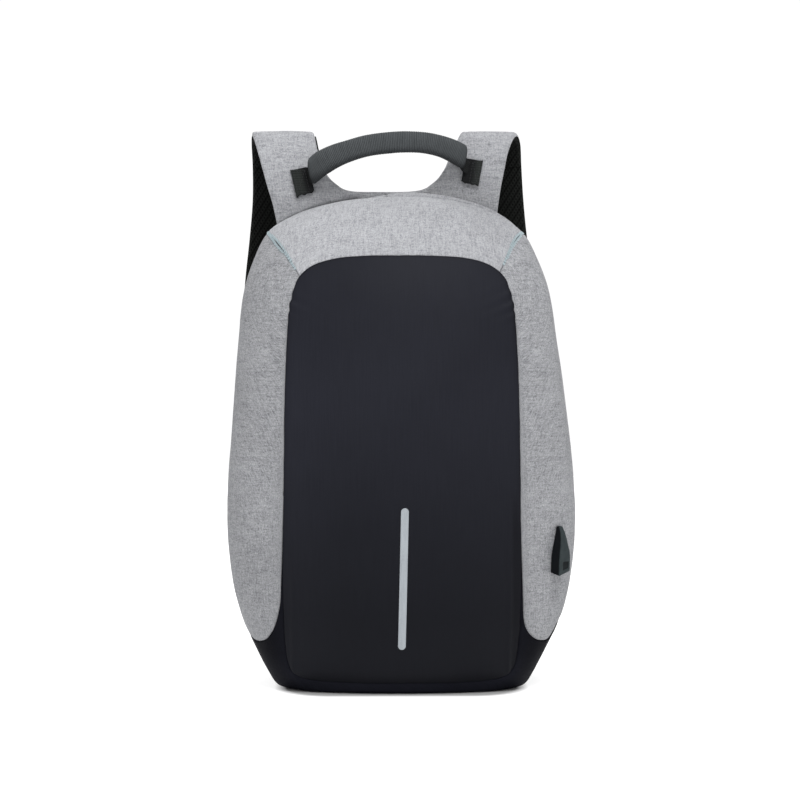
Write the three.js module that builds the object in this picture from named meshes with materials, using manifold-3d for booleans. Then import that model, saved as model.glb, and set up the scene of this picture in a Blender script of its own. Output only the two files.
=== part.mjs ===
// Hard-fronted commuter backpack: a shell of foam-backed cloth walls around one hollow
// compartment, a padded back panel, a padded harness with a U-shaped yoke, a webbing
// haul handle and a charging port on the right flank.
// Millimetres, +Z up, front of the bag towards -Y, wearer's back towards +Y.
import * as THREE from "three";
import { mergeVertices } from "three/addons/utils/BufferGeometryUtils.js";
import Module from "manifold-3d";

const wasm = await Module();
wasm.setup();
const V = (x, y, z) => new THREE.Vector3(x, y, z);

// ---------------------------------------------------------------- driving dimensions
const WALL = 3.4; // foam-backed cloth wall
const GAP = 0.4; // between neighbouring pieces
const Y_CENTRE = 43.57; // moves the origin from the back panel to the middle of the box
const LEAN = -5; // the widest part of the soft top hangs this far over to the left
const LEAN_FROM = 180;
const LEAN_TO = 400;
const FALL_AT = 120; // half width at which the front's sideways fall is stated
const FALL_POWER = 2.2;
const DART = 16; // station of the mitred seam between top and side bands
const TOP = 20; // station of the top centre
const PANEL_MID_Z = 205;

// Front of the bag: depth of the centre line in front of the back panel, and how far
// the surface has fallen back at FALL_AT.
const FRONT = [
  { z: -20, depth: 112, fall: 27 },
  { z: 9, depth: 130, fall: 27 },
  { z: 20, depth: 137, fall: 27 },
  { z: 60, depth: 148.5, fall: 27 },
  { z: 120, depth: 154, fall: 27 },
  { z: 180, depth: 153, fall: 27 },
  { z: 240, depth: 146.5, fall: 27 },
  { z: 300, depth: 135.5, fall: 27 },
  { z: 340, depth: 124.5, fall: 27 },
  { z: 375, depth: 109, fall: 26 },
  { z: 410, depth: 88, fall: 24 },
];

// Stations round the right half of the bag, from the bottom centre to the top centre.
// p = edge of the front panel, s = widest line (front edge of the flat base at the
// bottom), b = back edge, at the zip's front side. slope = how steeply the wall leaves p, in degrees; lp, ls,
// ls2, lb = how long the section holds its direction at p, in front of s, behind s and
// at b; turn = how far the wall turns in at b, in degrees.
const STATIONS = [
  { px: 0, pz: 9.1, sx: 0, sz: 0, sy: -123, bx: 0, bz: 0, by: -10, slope: 27, lp: 4.5, ls: 3.5, ls2: 34, lb: 34, turn: 0 },
  { px: 46, pz: 9.3, sx: 49, sz: 0, sy: -119, bx: 49, bz: 0, by: -10, slope: 27, lp: 4.5, ls: 3.6, ls2: 34, lb: 34, turn: 0 },
  { px: 76, pz: 10.8, sx: 82, sz: 0, sy: -110, bx: 81, bz: 0, by: -10, slope: 28, lp: 5.5, ls: 5, ls2: 32, lb: 32, turn: 0 },
  { px: 89.5, pz: 14.3, sx: 99.6, sz: 0, sy: -92, bx: 97, bz: 0, by: -10, slope: 30, lp: 8, ls: 10, ls2: 28, lb: 28, turn: 0 },
  { px: 96, pz: 21, sx: 110, sz: 2.2, sy: -74, bx: 106, bz: 2, by: -10, slope: 31, lp: 13, ls: 19, ls2: 22, lb: 20, turn: 4 },
  { px: 99, pz: 32, sx: 117.4, sz: 12, sy: -63, bx: 112.5, bz: 11.4, by: -10, slope: 30, lp: 19, ls: 28, ls2: 19, lb: 16, turn: 8 },
  { px: 100.6, pz: 48, sx: 127.3, sz: 31.5, sy: -60, bx: 120, bz: 30.5, by: -10, slope: 28, lp: 24, ls: 36, ls2: 20, lb: 16, turn: 13 },
  { px: 101.5, pz: 70, sx: 138.6, sz: 54.5, sy: -60, bx: 130.5, bz: 55, by: -14, slope: 25, lp: 29, ls: 40, ls2: 22, lb: 16, turn: 16 },
  { px: 102, pz: 95, sx: 146.9, sz: 83.5, sy: -60, bx: 138.5, bz: 85, by: -14, slope: 23, lp: 33, ls: 42, ls2: 24, lb: 16, turn: 17 },
  { px: 101.9, pz: 122, sx: 151.5, sz: 115, sy: -60, bx: 143.2, bz: 117, by: -14, slope: 22, lp: 34, ls: 43, ls2: 24, lb: 16, turn: 17 },
  { px: 101.2, pz: 155, sx: 153.2, sz: 150, sy: -60, bx: 145.2, bz: 151, by: -14, slope: 22, lp: 35, ls: 43, ls2: 24, lb: 16, turn: 17 },
  { px: 100.6, pz: 200, sx: 150.7, sz: 196, sy: -60, bx: 143, bz: 197, by: -14, slope: 22, lp: 34, ls: 42, ls2: 24, lb: 16, turn: 17 },
  { px: 100.2, pz: 248, sx: 145.6, sz: 250, sy: -60, bx: 138, bz: 250, by: -14, slope: 22, lp: 31, ls: 40, ls2: 24, lb: 16, turn: 17 },
  { px: 98.8, pz: 296, sx: 139.9, sz: 302, sy: -59, bx: 132.4, bz: 302, by: -14, slope: 22, lp: 28, ls: 38, ls2: 24, lb: 16, turn: 17 },
  { px: 96.2, pz: 330, sx: 134.2, sz: 345, sy: -56, bx: 126.6, bz: 343.5, by: -14, slope: 23, lp: 27, ls: 36, ls2: 22, lb: 15, turn: 17 },
  { px: 93.4, pz: 343, sx: 124.8, sz: 373.6, sy: -49, bx: 118, bz: 371, by: -14, slope: 24, lp: 27, ls: 35, ls2: 16, lb: 11, turn: 14 },
  { px: 88.8, pz: 355.3, sx: 113, sz: 397.4, sy: -41, bx: 106.8, bz: 399.4, by: -14, slope: 26, lp: 28, ls: 34, ls2: 12, lb: 8, turn: 6 },
  { px: 78, pz: 365.6, sx: 92, sz: 411.8, sy: -35, bx: 89, bz: 415, by: -14, slope: 28, lp: 30, ls: 35, ls2: 9, lb: 6, turn: -14 },
  { px: 58, pz: 372.3, sx: 67, sz: 420.6, sy: -33, bx: 66, bz: 425.4, by: -14, slope: 29, lp: 31, ls: 36, ls2: 8, lb: 6, turn: -22 },
  { px: 30, pz: 374.7, sx: 34.5, sz: 427.2, sy: -32, bx: 34.5, bz: 432.6, by: -14, slope: 30, lp: 32, ls: 36, ls2: 8, lb: 6, turn: -24 },
  { px: 0, pz: 375, sx: 0, sz: 429.2, sy: -32, bx: 0, bz: 434.4, by: -14, slope: 30, lp: 32, ls: 36, ls2: 8, lb: 6, turn: -24 },
];

// The left half of the top's back edge hangs a little lower, by station.
const LEFT_SAG = { 16: 2, 17: 6, 18: 7.5, 19: 4.5 };

// Lower edge of the grey side bands: station at each cross position (0 at the panel
// edge, 1 at the widest line, 2 at the back).
const TONGUE = [
  { t: 0, station: 7.5 },
  { t: 0.1, station: 6.94 },
  { t: 0.2, station: 6.52 },
  { t: 0.32, station: 6.28 },
  { t: 0.46, station: 6.22 },
  { t: 0.62, station: 6.3 },
  { t: 0.8, station: 6.46 },
  { t: 1, station: 6.6 },
  { t: 1.5, station: 6.76 },
  { t: 2, station: 6.84 },
];

// Harness seen from the side (y, z): up the yoke, over the fold and down the shoulder
// straps to the end of their padding; and the edges of the left and right arm there.
// The first four rows are the yoke, whose middle ends at the U-shaped cut-out.
const STRAP_THICK = 8;
const HARNESS = [
  { row: 0, y: 4.5, z: 385, leftOut: -107.1, leftIn: -48.2, rightIn: 26.2, rightOut: 84.9 },
  { row: 1, y: 4.5, z: 404, leftOut: -111.1, leftIn: -48.2, rightIn: 26.2, rightOut: 86.9 },
  { row: 2, y: 4.5, z: 424, leftOut: -115.3, leftIn: -48.2, rightIn: 26.2, rightOut: 89.1 },
  { row: 3, y: 4.7, z: 439.4, leftOut: -119.9, leftIn: -48.2, rightIn: 26.2, rightOut: 91.4 },
  { row: 4, y: 5.1, z: 447, leftOut: -122.1, leftIn: -60.6, rightIn: 35.6, rightOut: 92.9 },
  { row: 5, y: 5.7, z: 456.6, leftOut: -124.8, leftIn: -68.3, rightIn: 41.6, rightOut: 94.9 },
  { row: 6, y: 8.8, z: 472, leftOut: -129.1, leftIn: -74.1, rightIn: 47.7, rightOut: 98.3 },
  { row: 7, y: 17.5, z: 484.6, leftOut: -133.2, leftIn: -77.2, rightIn: 53.2, rightOut: 103.6 },
  { row: 8, y: 32, z: 488, leftOut: -135.6, leftIn: -78.4, rightIn: 55.8, rightOut: 108.6 },
  { row: 9, y: 46, z: 481, leftOut: -136.6, leftIn: -78.6, rightIn: 56.4, rightOut: 112 },
  { row: 10, y: 54.5, z: 461, leftOut: -136.1, leftIn: -78.1, rightIn: 56.1, rightOut: 113.5 },
  { row: 11, y: 59.5, z: 430, leftOut: -136.5, leftIn: -78, rightIn: 57.2, rightOut: 115.8 },
  { row: 12, y: 63, z: 396, leftOut: -139.5, leftIn: -80.5, rightIn: 60.6, rightOut: 119.5 },
  { row: 13, y: 64.5, z: 360, leftOut: -143.5, leftIn: -84, rightIn: 65.5, rightOut: 125 },
  { row: 14, y: 64, z: 316, leftOut: -146.5, leftIn: -86.5, rightIn: 72.5, rightOut: 132.5 },
  { row: 15, y: 60, z: 270, leftOut: -146, leftIn: -86, rightIn: 76, rightOut: 136 },
  { row: 16, y: 52.5, z: 226, leftOut: -140.5, leftIn: -81.5, rightIn: 76, rightOut: 135 },
  { row: 17, y: 43.5, z: 188, leftOut: -131.5, leftIn: -76.5, rightIn: 76, rightOut: 131 },
  { row: 18, y: 37.5, z: 164, leftOut: -121.5, leftIn: -77.5, rightIn: 79.5, rightOut: 123.5 },
];
const U_ROW = 3; // row at which the cut-out's sides begin
const SEAM_ROW = 10; // where the straps are sewn to the yoke's arms, behind the fold
// Bottom of the cut-out.
const U_BOTTOM = [
  { x: -48.2, z: 439.4 },
  { x: -34.6, z: 436.4 },
  { x: -13.7, z: 436.2 },
  { x: 5.8, z: 436.4 },
  { x: 19.9, z: 437.6 },
  { x: 26.2, z: 439.4 },
];

// Haul handle: middle line of the padded grip, and its size across.
const GRIP = [
  { x: -77.6, y: -6.5, z: 455.4, wide: 22, thick: 9 },
  { x: -71.1, y: -10.5, z: 460.4, wide: 22, thick: 11 },
  { x: -61.1, y: -14, z: 465.6, wide: 21, thick: 12 },
  { x: -47.4, y: -17, z: 470.9, wide: 19.5, thick: 12 },
  { x: -29.4, y: -19.4, z: 475.8, wide: 19, thick: 12 },
  { x: -5.4, y: -20, z: 478.6, wide: 19, thick: 12 },
  { x: 18.6, y: -18.8, z: 478.6, wide: 19, thick: 12 },
  { x: 34.9, y: -15.8, z: 475.8, wide: 19, thick: 12 },
  { x: 46.9, y: -11.5, z: 471.6, wide: 20, thick: 11.5 },
  { x: 55.9, y: -7, z: 467, wide: 21.5, thick: 9.5 },
];
// Webbing tabs sewn to the yoke's front: outer end, lean in degrees, size.
const TAB_THICK = 2.2;
const TABS = {
  left: { x: -90.3, z: 444.4, lean: 13, wide: 15, tall: 24.5 },
  right: { x: 68.7, z: 453, lean: 8, wide: 11, tall: 23 },
};

const STRIP = { x: 0.8, z: 101, wide: 6.6, tall: 121, thick: 0.5, lean: 1.2 };

// Zip between the walls and the back panel: it starts above the base on both sides.
const ZIP = { station: 7.05, front: -13.5, back: -10, sunk: 1.3, thick: 2 };
const SLIDER_STATION = 8.2;

// Charging port: rows up the hood, with its width and how far it stands out.
const PORT = { station: 9.13, t: 0.41, pocketWide: 13, pocketDeep: 6.3, pocketTall: 14 };
const HOOD = [
  { up: -21, wide: 16, out: 8.8 },
  { up: -6, wide: 16, out: 8.6 },
  { up: 3, wide: 15, out: 7.4 },
  { up: 10, wide: 12.4, out: 5.6 },
  { up: 16, wide: 9, out: 3.2 },
  { up: 21, wide: 6.4, out: 1.4 },
];

const WEB = { wide: 25, thick: 1.8 }; // harness webbing
const BUCKLE = { wide: 34, thick: 3.4, bar: 4 };

// ---------------------------------------------------------------- tables and curves
// Smooth value of one column at position v of the key column.
function smooth(rows, key, column, v) {
  const n = rows.length;
  if (v <= rows[0][key]) return rows[0][column];
  if (v >= rows[n - 1][key]) return rows[n - 1][column];
  let i = 0;
  while (v > rows[i + 1][key]) i++;
  const k = (j) => rows[j][key];
  const c = (j) => rows[j][column];
  const m = (j) => {
    const a = Math.max(j - 1, 0);
    const b = Math.min(j + 1, n - 1);
    return (c(b) - c(a)) / (k(b) - k(a));
  };
  const h = k(i + 1) - k(i);
  const s = (v - k(i)) / h;
  return (
    c(i) * (2 * s ** 3 - 3 * s * s + 1) +
    m(i) * h * (s ** 3 - 2 * s * s + s) +
    c(i + 1) * (3 * s * s - 2 * s ** 3) +
    m(i + 1) * h * (s ** 3 - s * s)
  );
}
const frontY = (x, z) =>
  -smooth(FRONT, "z", "depth", z) +
  smooth(FRONT, "z", "fall", z) * (Math.abs(x) / FALL_AT) ** FALL_POWER;
const lean = (z) => {
  const s = Math.min(Math.max((z - LEAN_FROM) / (LEAN_TO - LEAN_FROM), 0), 1);
  return LEAN * s * s * (3 - 2 * s);
};

// Closed curve through one point of every station, right side then mirrored left.
function ring(pick, drop = () => 0) {
  const right = STATIONS.map(pick);
  const left = right.map((p, i) => V(-p.x, p.y, p.z - drop(i))).slice(1, -1).reverse();
  return new THREE.CatmullRomCurve3([...right, ...left], true, "centripetal");
}
// Columns that don't change sign on the left side.
function evenRing(pick) {
  const right = STATIONS.map(pick);
  return new THREE.CatmullRomCurve3([...right, ...right.slice(1, -1).reverse()], true, "centripetal");
}
const COUNT = 2 * TOP;
const ringP = ring((r) => V(r.px, 0, r.pz));
const ringS = ring((r) => V(r.sx, r.sy, r.sz));
const ringB = ring(
  (r) => V(r.bx, r.by, r.bz),
  (i) => LEFT_SAG[i] ?? 0,
);
const ringA = evenRing((r) => V(r.slope, r.turn, 0));
const ringL = evenRing((r) => V(r.lp, r.ls, 0));
const ringM = evenRing((r) => V(r.ls2, r.lb, 0));
const at = (curve, station) => curve.getPoint((((station % COUNT) + COUNT) % COUNT) / COUNT);
const pOf = (station) => {
  const p = at(ringP, station);
  return p.setY(frontY(p.x, p.z));
};
const bezier = (a, b, c, d, t) => new THREE.CubicBezierCurve3(a, b, c, d).getPoint(t);
const rad = Math.PI / 180;

// A point of the bag's side wall: station round the bag, t across it (0 to 2).
function wallRaw(station, t) {
  const p = pOf(station);
  const s = at(ringS, station);
  const b = at(ringB, station);
  const [slope, turn] = at(ringA, station).toArray();
  const [lp, ls] = at(ringL, station).toArray();
  const [ls2, lb] = at(ringM, station).toArray();
  s.z = Math.max(s.z, 0);
  b.z = Math.max(b.z, 0);
  const out = V(s.x - p.x, 0, s.z - p.z).normalize();
  if (t <= 1) {
    const tp = out.clone().multiplyScalar(Math.cos(slope * rad)).add(V(0, Math.sin(slope * rad), 0));
    return bezier(p, p.clone().addScaledVector(tp, lp), s.clone().add(V(0, -ls, 0)), s, t);
  }
  const tb = out.clone().multiplyScalar(-Math.sin(turn * rad)).add(V(0, Math.cos(turn * rad), 0));
  return bezier(s, s.clone().add(V(0, ls2, 0)), b.clone().addScaledVector(tb, -lb), b, t - 1);
}
// The lean is full at the widest line and none at the front panel and the back.
function wall(station, t) {
  const p = wallRaw(station, t);
  const s = t <= 1 ? t : 2 - t;
  return p.setX(p.x + lean(p.z) * s * s * (3 - 2 * s));
}
const panel = (x, z) => V(x, frontY(x, z), z);

function wallNormal(station, t) {
  const e = 0.02;
  const a = Math.max(t - e, 0);
  const b = Math.min(t + e, 2);
  const du = wall(station + e, t).sub(wall(station - e, t));
  const dt = wall(station, b).sub(wall(station, a));
  return dt.cross(du).normalize();
}
function panelNormal(x, z) {
  const e = 0.5;
  const du = panel(x + e, z).sub(panel(x - e, z));
  const dv = panel(x, z + e).sub(panel(x, z - e));
  return du.cross(dv).normalize();
}
// Both sides of the panel seam are offset the same way, so that they stay clear.
function seamNormal(station) {
  const p = at(ringP, station);
  return wallNormal(station, 0.004).add(panelNormal(p.x, p.z)).normalize();
}
function wallOffset(station, t) {
  const n = wallNormal(station, t);
  const near = Math.max(0, 1 - t / 0.12);
  if (near > 0) return n.lerp(seamNormal(station), near).normalize();
  // the back edge is square to the back, so the wall ends in one plane
  const back = Math.max(0, (t - 1.6) / 0.4);
  return n.setY(n.y * (1 - back)).normalize();
}

// ---------------------------------------------------------------- solids
function geometryOf(points, faces) {
  const g = new THREE.BufferGeometry();
  g.setAttribute("position", new THREE.Float32BufferAttribute(points.flatMap((p) => p.toArray()), 3));
  g.setIndex(faces.flat());
  let volume = 0;
  for (const [a, b, c] of faces) volume += points[a].dot(points[b].clone().cross(points[c]));
  if (volume < 0) g.setIndex(faces.map(([a, b, c]) => [a, c, b]).flat());
  return g;
}
// Turns the faces of a mirrored or bent solid outwards.
function facingOut(geometry) {
  const g = geometry.index ? geometry : mergeVertices(geometry.deleteAttribute("normal").deleteAttribute("uv"), 1e-4);
  const p = g.attributes.position;
  const points = Array.from({ length: p.count }, (_, i) => V(p.getX(i), p.getY(i), p.getZ(i)));
  const ix = Array.from(g.index.array);
  const faces = [];
  for (let i = 0; i < ix.length; i += 3) faces.push([ix[i], ix[i + 1], ix[i + 2]]);
  return geometryOf(points, faces);
}
// Solid between two equal grids of points; closed = the grid joins up along its rows.
function between(outer, inner, closed = false) {
  const rows = outer.length;
  const cols = outer[0].length;
  const points = [...outer.flat(), ...inner.flat()];
  const o = (i, j) => i * cols + (j % cols);
  const n = (i, j) => rows * cols + i * cols + (j % cols);
  const faces = [];
  const quad = (a, b, c, d) => faces.push([a, b, c], [a, c, d]);
  const last = closed ? cols : cols - 1;
  for (let i = 0; i < rows - 1; i++)
    for (let j = 0; j < last; j++) {
      quad(o(i, j), o(i, j + 1), o(i + 1, j + 1), o(i + 1, j));
      quad(n(i, j), n(i + 1, j), n(i + 1, j + 1), n(i, j + 1));
    }
  for (let j = 0; j < last; j++) {
    quad(o(0, j), n(0, j), n(0, j + 1), o(0, j + 1));
    quad(o(rows - 1, j), o(rows - 1, j + 1), n(rows - 1, j + 1), n(rows - 1, j));
  }
  if (!closed)
    for (let i = 0; i < rows - 1; i++) {
      quad(o(i, 0), o(i + 1, 0), n(i + 1, 0), n(i, 0));
      quad(o(i, cols - 1), n(i, cols - 1), n(i + 1, cols - 1), o(i + 1, cols - 1));
    }
  return geometryOf(points, faces);
}
// Solid through closed sections of equal length, with flat ends.
function loft(sections) {
  const n = sections[0].length;
  const points = sections.flat();
  const faces = [];
  for (let i = 0; i < sections.length - 1; i++)
    for (let j = 0; j < n; j++) {
      const a = i * n + j;
      const b = i * n + ((j + 1) % n);
      faces.push([a, b, b + n], [a, b + n, a + n]);
    }
  const end = (first, flip) => {
    for (let j = 1; j < n - 1; j++)
      faces.push(flip ? [first, first + j + 1, first + j] : [first, first + j, first + j + 1]);
  };
  end(0, true);
  end((sections.length - 1) * n, false);
  return geometryOf(points, faces);
}
// Dome of rings round a middle point, offset between two skins.
function dish(outerRings, outerMid, innerRings, innerMid) {
  const n = outerRings[0].length;
  const k = outerRings.length;
  const points = [...outerRings.flat(), outerMid, ...innerRings.flat(), innerMid];
  const base = k * n + 1;
  const faces = [];
  const skin = (first, flip) => {
    const add = (a, b, c) => faces.push(flip ? [a, c, b] : [a, b, c]);
    for (let i = 0; i < k - 1; i++)
      for (let j = 0; j < n; j++) {
        const a = first + i * n + j;
        const b = first + i * n + ((j + 1) % n);
        add(a, b, b + n);
        add(a, b + n, a + n);
      }
    for (let j = 0; j < n; j++) add(first + (k - 1) * n + j, first + (k - 1) * n + ((j + 1) % n), first + k * n);
  };
  skin(0, false);
  skin(base, true);
  for (let j = 0; j < n; j++) {
    const a = j;
    const b = (j + 1) % n;
    faces.push([a, base + a, base + b], [a, base + b, b]);
  }
  return geometryOf(points, faces);
}
function solidOf(geometry) {
  const g = geometry.index ? geometry.toNonIndexed() : geometry.clone();
  g.deleteAttribute("normal");
  g.deleteAttribute("uv");
  const merged = mergeVertices(g, 1e-4);
  return new wasm.Manifold(
    new wasm.Mesh({
      numProp: 3,
      vertProperties: merged.attributes.position.array,
      triVerts: new Uint32Array(merged.index.array),
    }),
  );
}
function geometryFrom(solid) {
  const mesh = solid.getMesh();
  const g = new THREE.BufferGeometry();
  const v = new Float32Array(mesh.numVert * 3);
  for (let i = 0; i < mesh.numVert; i++) v.set(mesh.vertProperties.subarray(i * mesh.numProp, i * mesh.numProp + 3), i * 3);
  g.setAttribute("position", new THREE.BufferAttribute(v, 3));
  g.setIndex(new THREE.BufferAttribute(mesh.triVerts.slice(), 1));
  return g;
}
const steps = (a, b, n) => Array.from({ length: n + 1 }, (_, i) => a + ((b - a) * i) / n);

// ---------------------------------------------------------------- bag walls
// A piece of side wall: its stations at each t, from low(t) to high(t).
function wallPiece(low, high, ts, across, thick = WALL, sunk = 0) {
  const outer = [];
  const inner = [];
  for (const t of ts) {
    const a = low(t);
    const b = high(t);
    const o = [];
    const n = [];
    for (const s of steps(a, b, across)) {
      const normal = wallOffset(s, t);
      const p = wall(s, t);
      o.push(p.clone().addScaledVector(normal, -sunk));
      n.push(p.clone().addScaledVector(normal, -sunk - thick));
    }
    outer.push(o);
    inner.push(n);
  }
  return between(outer, inner);
}
const tongue = (t) => smooth(TONGUE, "t", "station", t);
// One station is about this long where the seams cross, so gaps stay near GAP.
const gapAt = (station, t) => GAP / wall(station + 0.05, t).distanceTo(wall(station - 0.05, t)) / 10;
const T_ALL = [0, 0.06, 0.14, 0.24, 0.36, 0.5, 0.66, 0.84, 1, 1.2, 1.42, 1.65, 1.85, 2];
// Ends and number of segments of each piece round the bag.
const PIECES = {
  base: { low: (t) => -tongue(t) + gapAt(tongue(t), t), high: (t) => tongue(t) - gapAt(tongue(t), t), across: 30 },
  sideRight: { low: (t) => tongue(t) + gapAt(tongue(t), t), high: (t) => DART - gapAt(DART, t), across: 17 },
  top: { low: (t) => DART + gapAt(DART, t), high: (t) => COUNT - DART - gapAt(COUNT - DART, t), across: 16 },
  sideLeft: {
    low: (t) => COUNT - DART + gapAt(COUNT - DART, t),
    high: (t) => COUNT - tongue(t) - gapAt(COUNT - tongue(t), t),
    across: 17,
  },
};
const pieceOf = ({ low, high, across }) => wallPiece(low, high, T_ALL, across);
// Outline of the back: a point of the back edge moved inwards, at any depth.
function backEdge(station, y, inset) {
  const e = 0.02;
  const p = at(ringB, station);
  const d = at(ringB, station + e).sub(at(ringB, station - e));
  const n = V(-d.z, 0, d.x).normalize(); // towards the middle of the back
  return V(p.x, y, Math.max(p.z, 0)).addScaledVector(n, inset);
}
// Zip tape and teeth in the groove between the walls and the back panel.
function zip() {
  const ys = [ZIP.front, ZIP.back];
  const grid = (inset) => ys.map((y) => steps(ZIP.station, COUNT - ZIP.station, 60).map((s) => backEdge(s, y, inset)));
  return between(grid(ZIP.sunk), grid(ZIP.sunk + ZIP.thick));
}

// Front panel: rings from its edge to the middle. Its edge has the same stations as
// the walls round it, so the seam stays open all the way.
const PANEL_STATIONS = Object.values(PIECES).flatMap(({ low, high, across }) => steps(low(0), high(0), across));
const PANEL_RINGS = [1, 0.93, 0.82, 0.66, 0.46, 0.24];
function frontPanel() {
  const outer = [];
  const inner = [];
  for (const f of PANEL_RINGS) {
    const o = [];
    const n = [];
    for (const station of PANEL_STATIONS) {
      const p = at(ringP, station);
      const d = V(p.x, 0, p.z - PANEL_MID_Z);
      const k = f === 1 ? 1 - (GAP * 1.3) / d.length() : f;
      const x = d.x * k;
      const z = PANEL_MID_Z + d.z * k;
      const normal = f === 1 ? seamNormal(station) : panelNormal(x, z);
      const q = panel(x, z);
      o.push(q);
      n.push(q.clone().addScaledVector(normal, -WALL));
    }
    outer.push(o);
    inner.push(n);
  }
  const mid = panel(0, PANEL_MID_Z);
  return dish(outer, mid, inner, mid.clone().addScaledVector(panelNormal(0, PANEL_MID_Z), -WALL));
}

// Back panel: a padded slab over the ends of the walls.
const BACK_THICK = 9.6;
const BACK_STATIONS = 60;
const BACK_EDGE = [
  { inset: 0, y: -BACK_THICK },
  { inset: 0, y: -4.6 },
  { inset: 1.2, y: -1.8 },
  { inset: 4, y: 0 },
];
function backPanel() {
  const rings = BACK_EDGE.map(({ inset, y }) =>
    Array.from({ length: BACK_STATIONS }, (_, i) => backEdge((i * COUNT) / BACK_STATIONS, y, inset)),
  );
  const n = BACK_STATIONS;
  const points = [...rings.flat(), V(0, 0, PANEL_MID_Z), V(0, -BACK_THICK, PANEL_MID_Z)];
  const faces = [];
  for (let i = 0; i < rings.length - 1; i++)
    for (let j = 0; j < n; j++) {
      const a = i * n + j;
      const b = i * n + ((j + 1) % n);
      faces.push([a, b, b + n], [a, b + n, a + n]);
    }
  const top = (rings.length - 1) * n;
  for (let j = 0; j < n; j++) {
    faces.push([top + j, top + ((j + 1) % n), rings.length * n]);
    faces.push([j, rings.length * n + 1, (j + 1) % n]);
  }
  return geometryOf(points, faces);
}

// ---------------------------------------------------------------- harness
// The harness is one net of cloth: position along it (row) and x across it.
const harnessLine = new THREE.CatmullRomCurve3(HARNESS.map((r) => V(0, r.y, r.z)), false, "centripetal");
const lastRow = HARNESS.length - 1;
function harnessPoint(row, x, off, dz = 0) {
  const c = harnessLine.getPoint(row / lastRow);
  const t = harnessLine.getTangent(row / lastRow);
  return V(x, c.y + t.z * off, c.z + dz - t.y * off); // off > 0 towards the inside of the loop
}
const edge = (column, row) => smooth(HARNESS, "row", column, row);
// Solid slab over a net of quads: every edge that one quad alone has gets a wall.
function slab(cells, place) {
  const index = new Map();
  const params = [];
  const id = (q) => {
    const key = q.map((v) => v.toFixed(4)).join();
    if (!index.has(key)) {
      index.set(key, params.length);
      params.push(q);
    }
    return index.get(key);
  };
  const quads = cells.map((c) => c.map(id));
  const n = params.length;
  const points = [...params.map((q) => place(q, 0)), ...params.map((q) => place(q, 1))];
  const faces = [];
  const used = new Set(quads.flatMap((q) => q.map((a, i) => `${a},${q[(i + 1) % 4]}`)));
  for (const q of quads) {
    const [a, b, c, d] = q;
    faces.push([a, b, c], [a, c, d], [n + a, n + c, n + b], [n + a, n + d, n + c]);
    q.forEach((v, i) => {
      const w = q[(i + 1) % 4];
      if (!used.has(`${w},${v}`)) faces.push([v, n + v, n + w], [v, n + w, w]);
    });
  }
  return geometryOf(points, faces);
}
// Quads between two edges of the harness, over a list of rows.
function arm(rows, outColumn, inColumn, columns = 2) {
  const cells = [];
  const q = (row, f) => {
    const a = edge(outColumn, row);
    return [row, a + (edge(inColumn, row) - a) * f, 0];
  };
  for (let i = 0; i < rows.length - 1; i++)
    for (let j = 0; j < columns; j++) {
      const [f, g] = [j / columns, (j + 1) / columns];
      cells.push([q(rows[i], f), q(rows[i], g), q(rows[i + 1], g), q(rows[i + 1], f)]);
    }
  return cells;
}
const YOKE_ROWS = [0, 1, 2, 3, 3.5, 4, 4.5, 5, 5.5, 6, 6.35, 6.7, 7, 7.3, 7.6, 8, 8.35, 8.7, 9, 9.4, SEAM_ROW];
function yokeCells() {
  const middle = [];
  const q = (row, { x, z }) => {
    const full = HARNESS[row].z - HARNESS[0].z;
    const part = (z - HARNESS[0].z) / (HARNESS[U_ROW].z - HARNESS[0].z);
    return [row, x, full * (part - 1)];
  };
  for (let row = 0; row < U_ROW; row++)
    for (let j = 0; j < U_BOTTOM.length - 1; j++) {
      const [a, b] = [U_BOTTOM[j], U_BOTTOM[j + 1]];
      middle.push([q(row, a), q(row, b), q(row + 1, b), q(row + 1, a)]);
    }
  return [...arm(YOKE_ROWS, "leftOut", "leftIn"), ...middle, ...arm(YOKE_ROWS, "rightIn", "rightOut")];
}
const STRAP_ROWS = [SEAM_ROW + 0.013, 10.35, 10.7, 11, 11.5, ...steps(12, lastRow, 14)];
const strapCells = (side) =>
  side === "left" ? arm(STRAP_ROWS, "leftOut", "leftIn") : arm(STRAP_ROWS, "rightIn", "rightOut");
// One layer of the harness: cover outside, mesh inside the loop, a little narrower.
const LAYERS = {
  cover: { from: -STRAP_THICK / 2, to: 0.2, trim: 0 },
  mesh: { from: 0.6, to: STRAP_THICK / 2, trim: 0.9 },
};
function harnessLayer(cells, layer) {
  const { from, to, trim } = LAYERS[layer];
  const trimmed = (row, x, dz) => {
    if (!trim) return x;
    const pull = [
      ["leftOut", 1],
      ["leftIn", row > U_ROW ? -1 : 0],
      ["rightIn", row > U_ROW ? 1 : 0],
      ["rightOut", -1],
    ].find(([column]) => Math.abs(edge(column, row) - x) < 1e-6 && dz === 0);
    return pull ? x + pull[1] * trim : x;
  };
  return slab(cells, ([row, x, dz], side) => harnessPoint(row, trimmed(row, x, dz), side ? to : from, dz));
}

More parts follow.
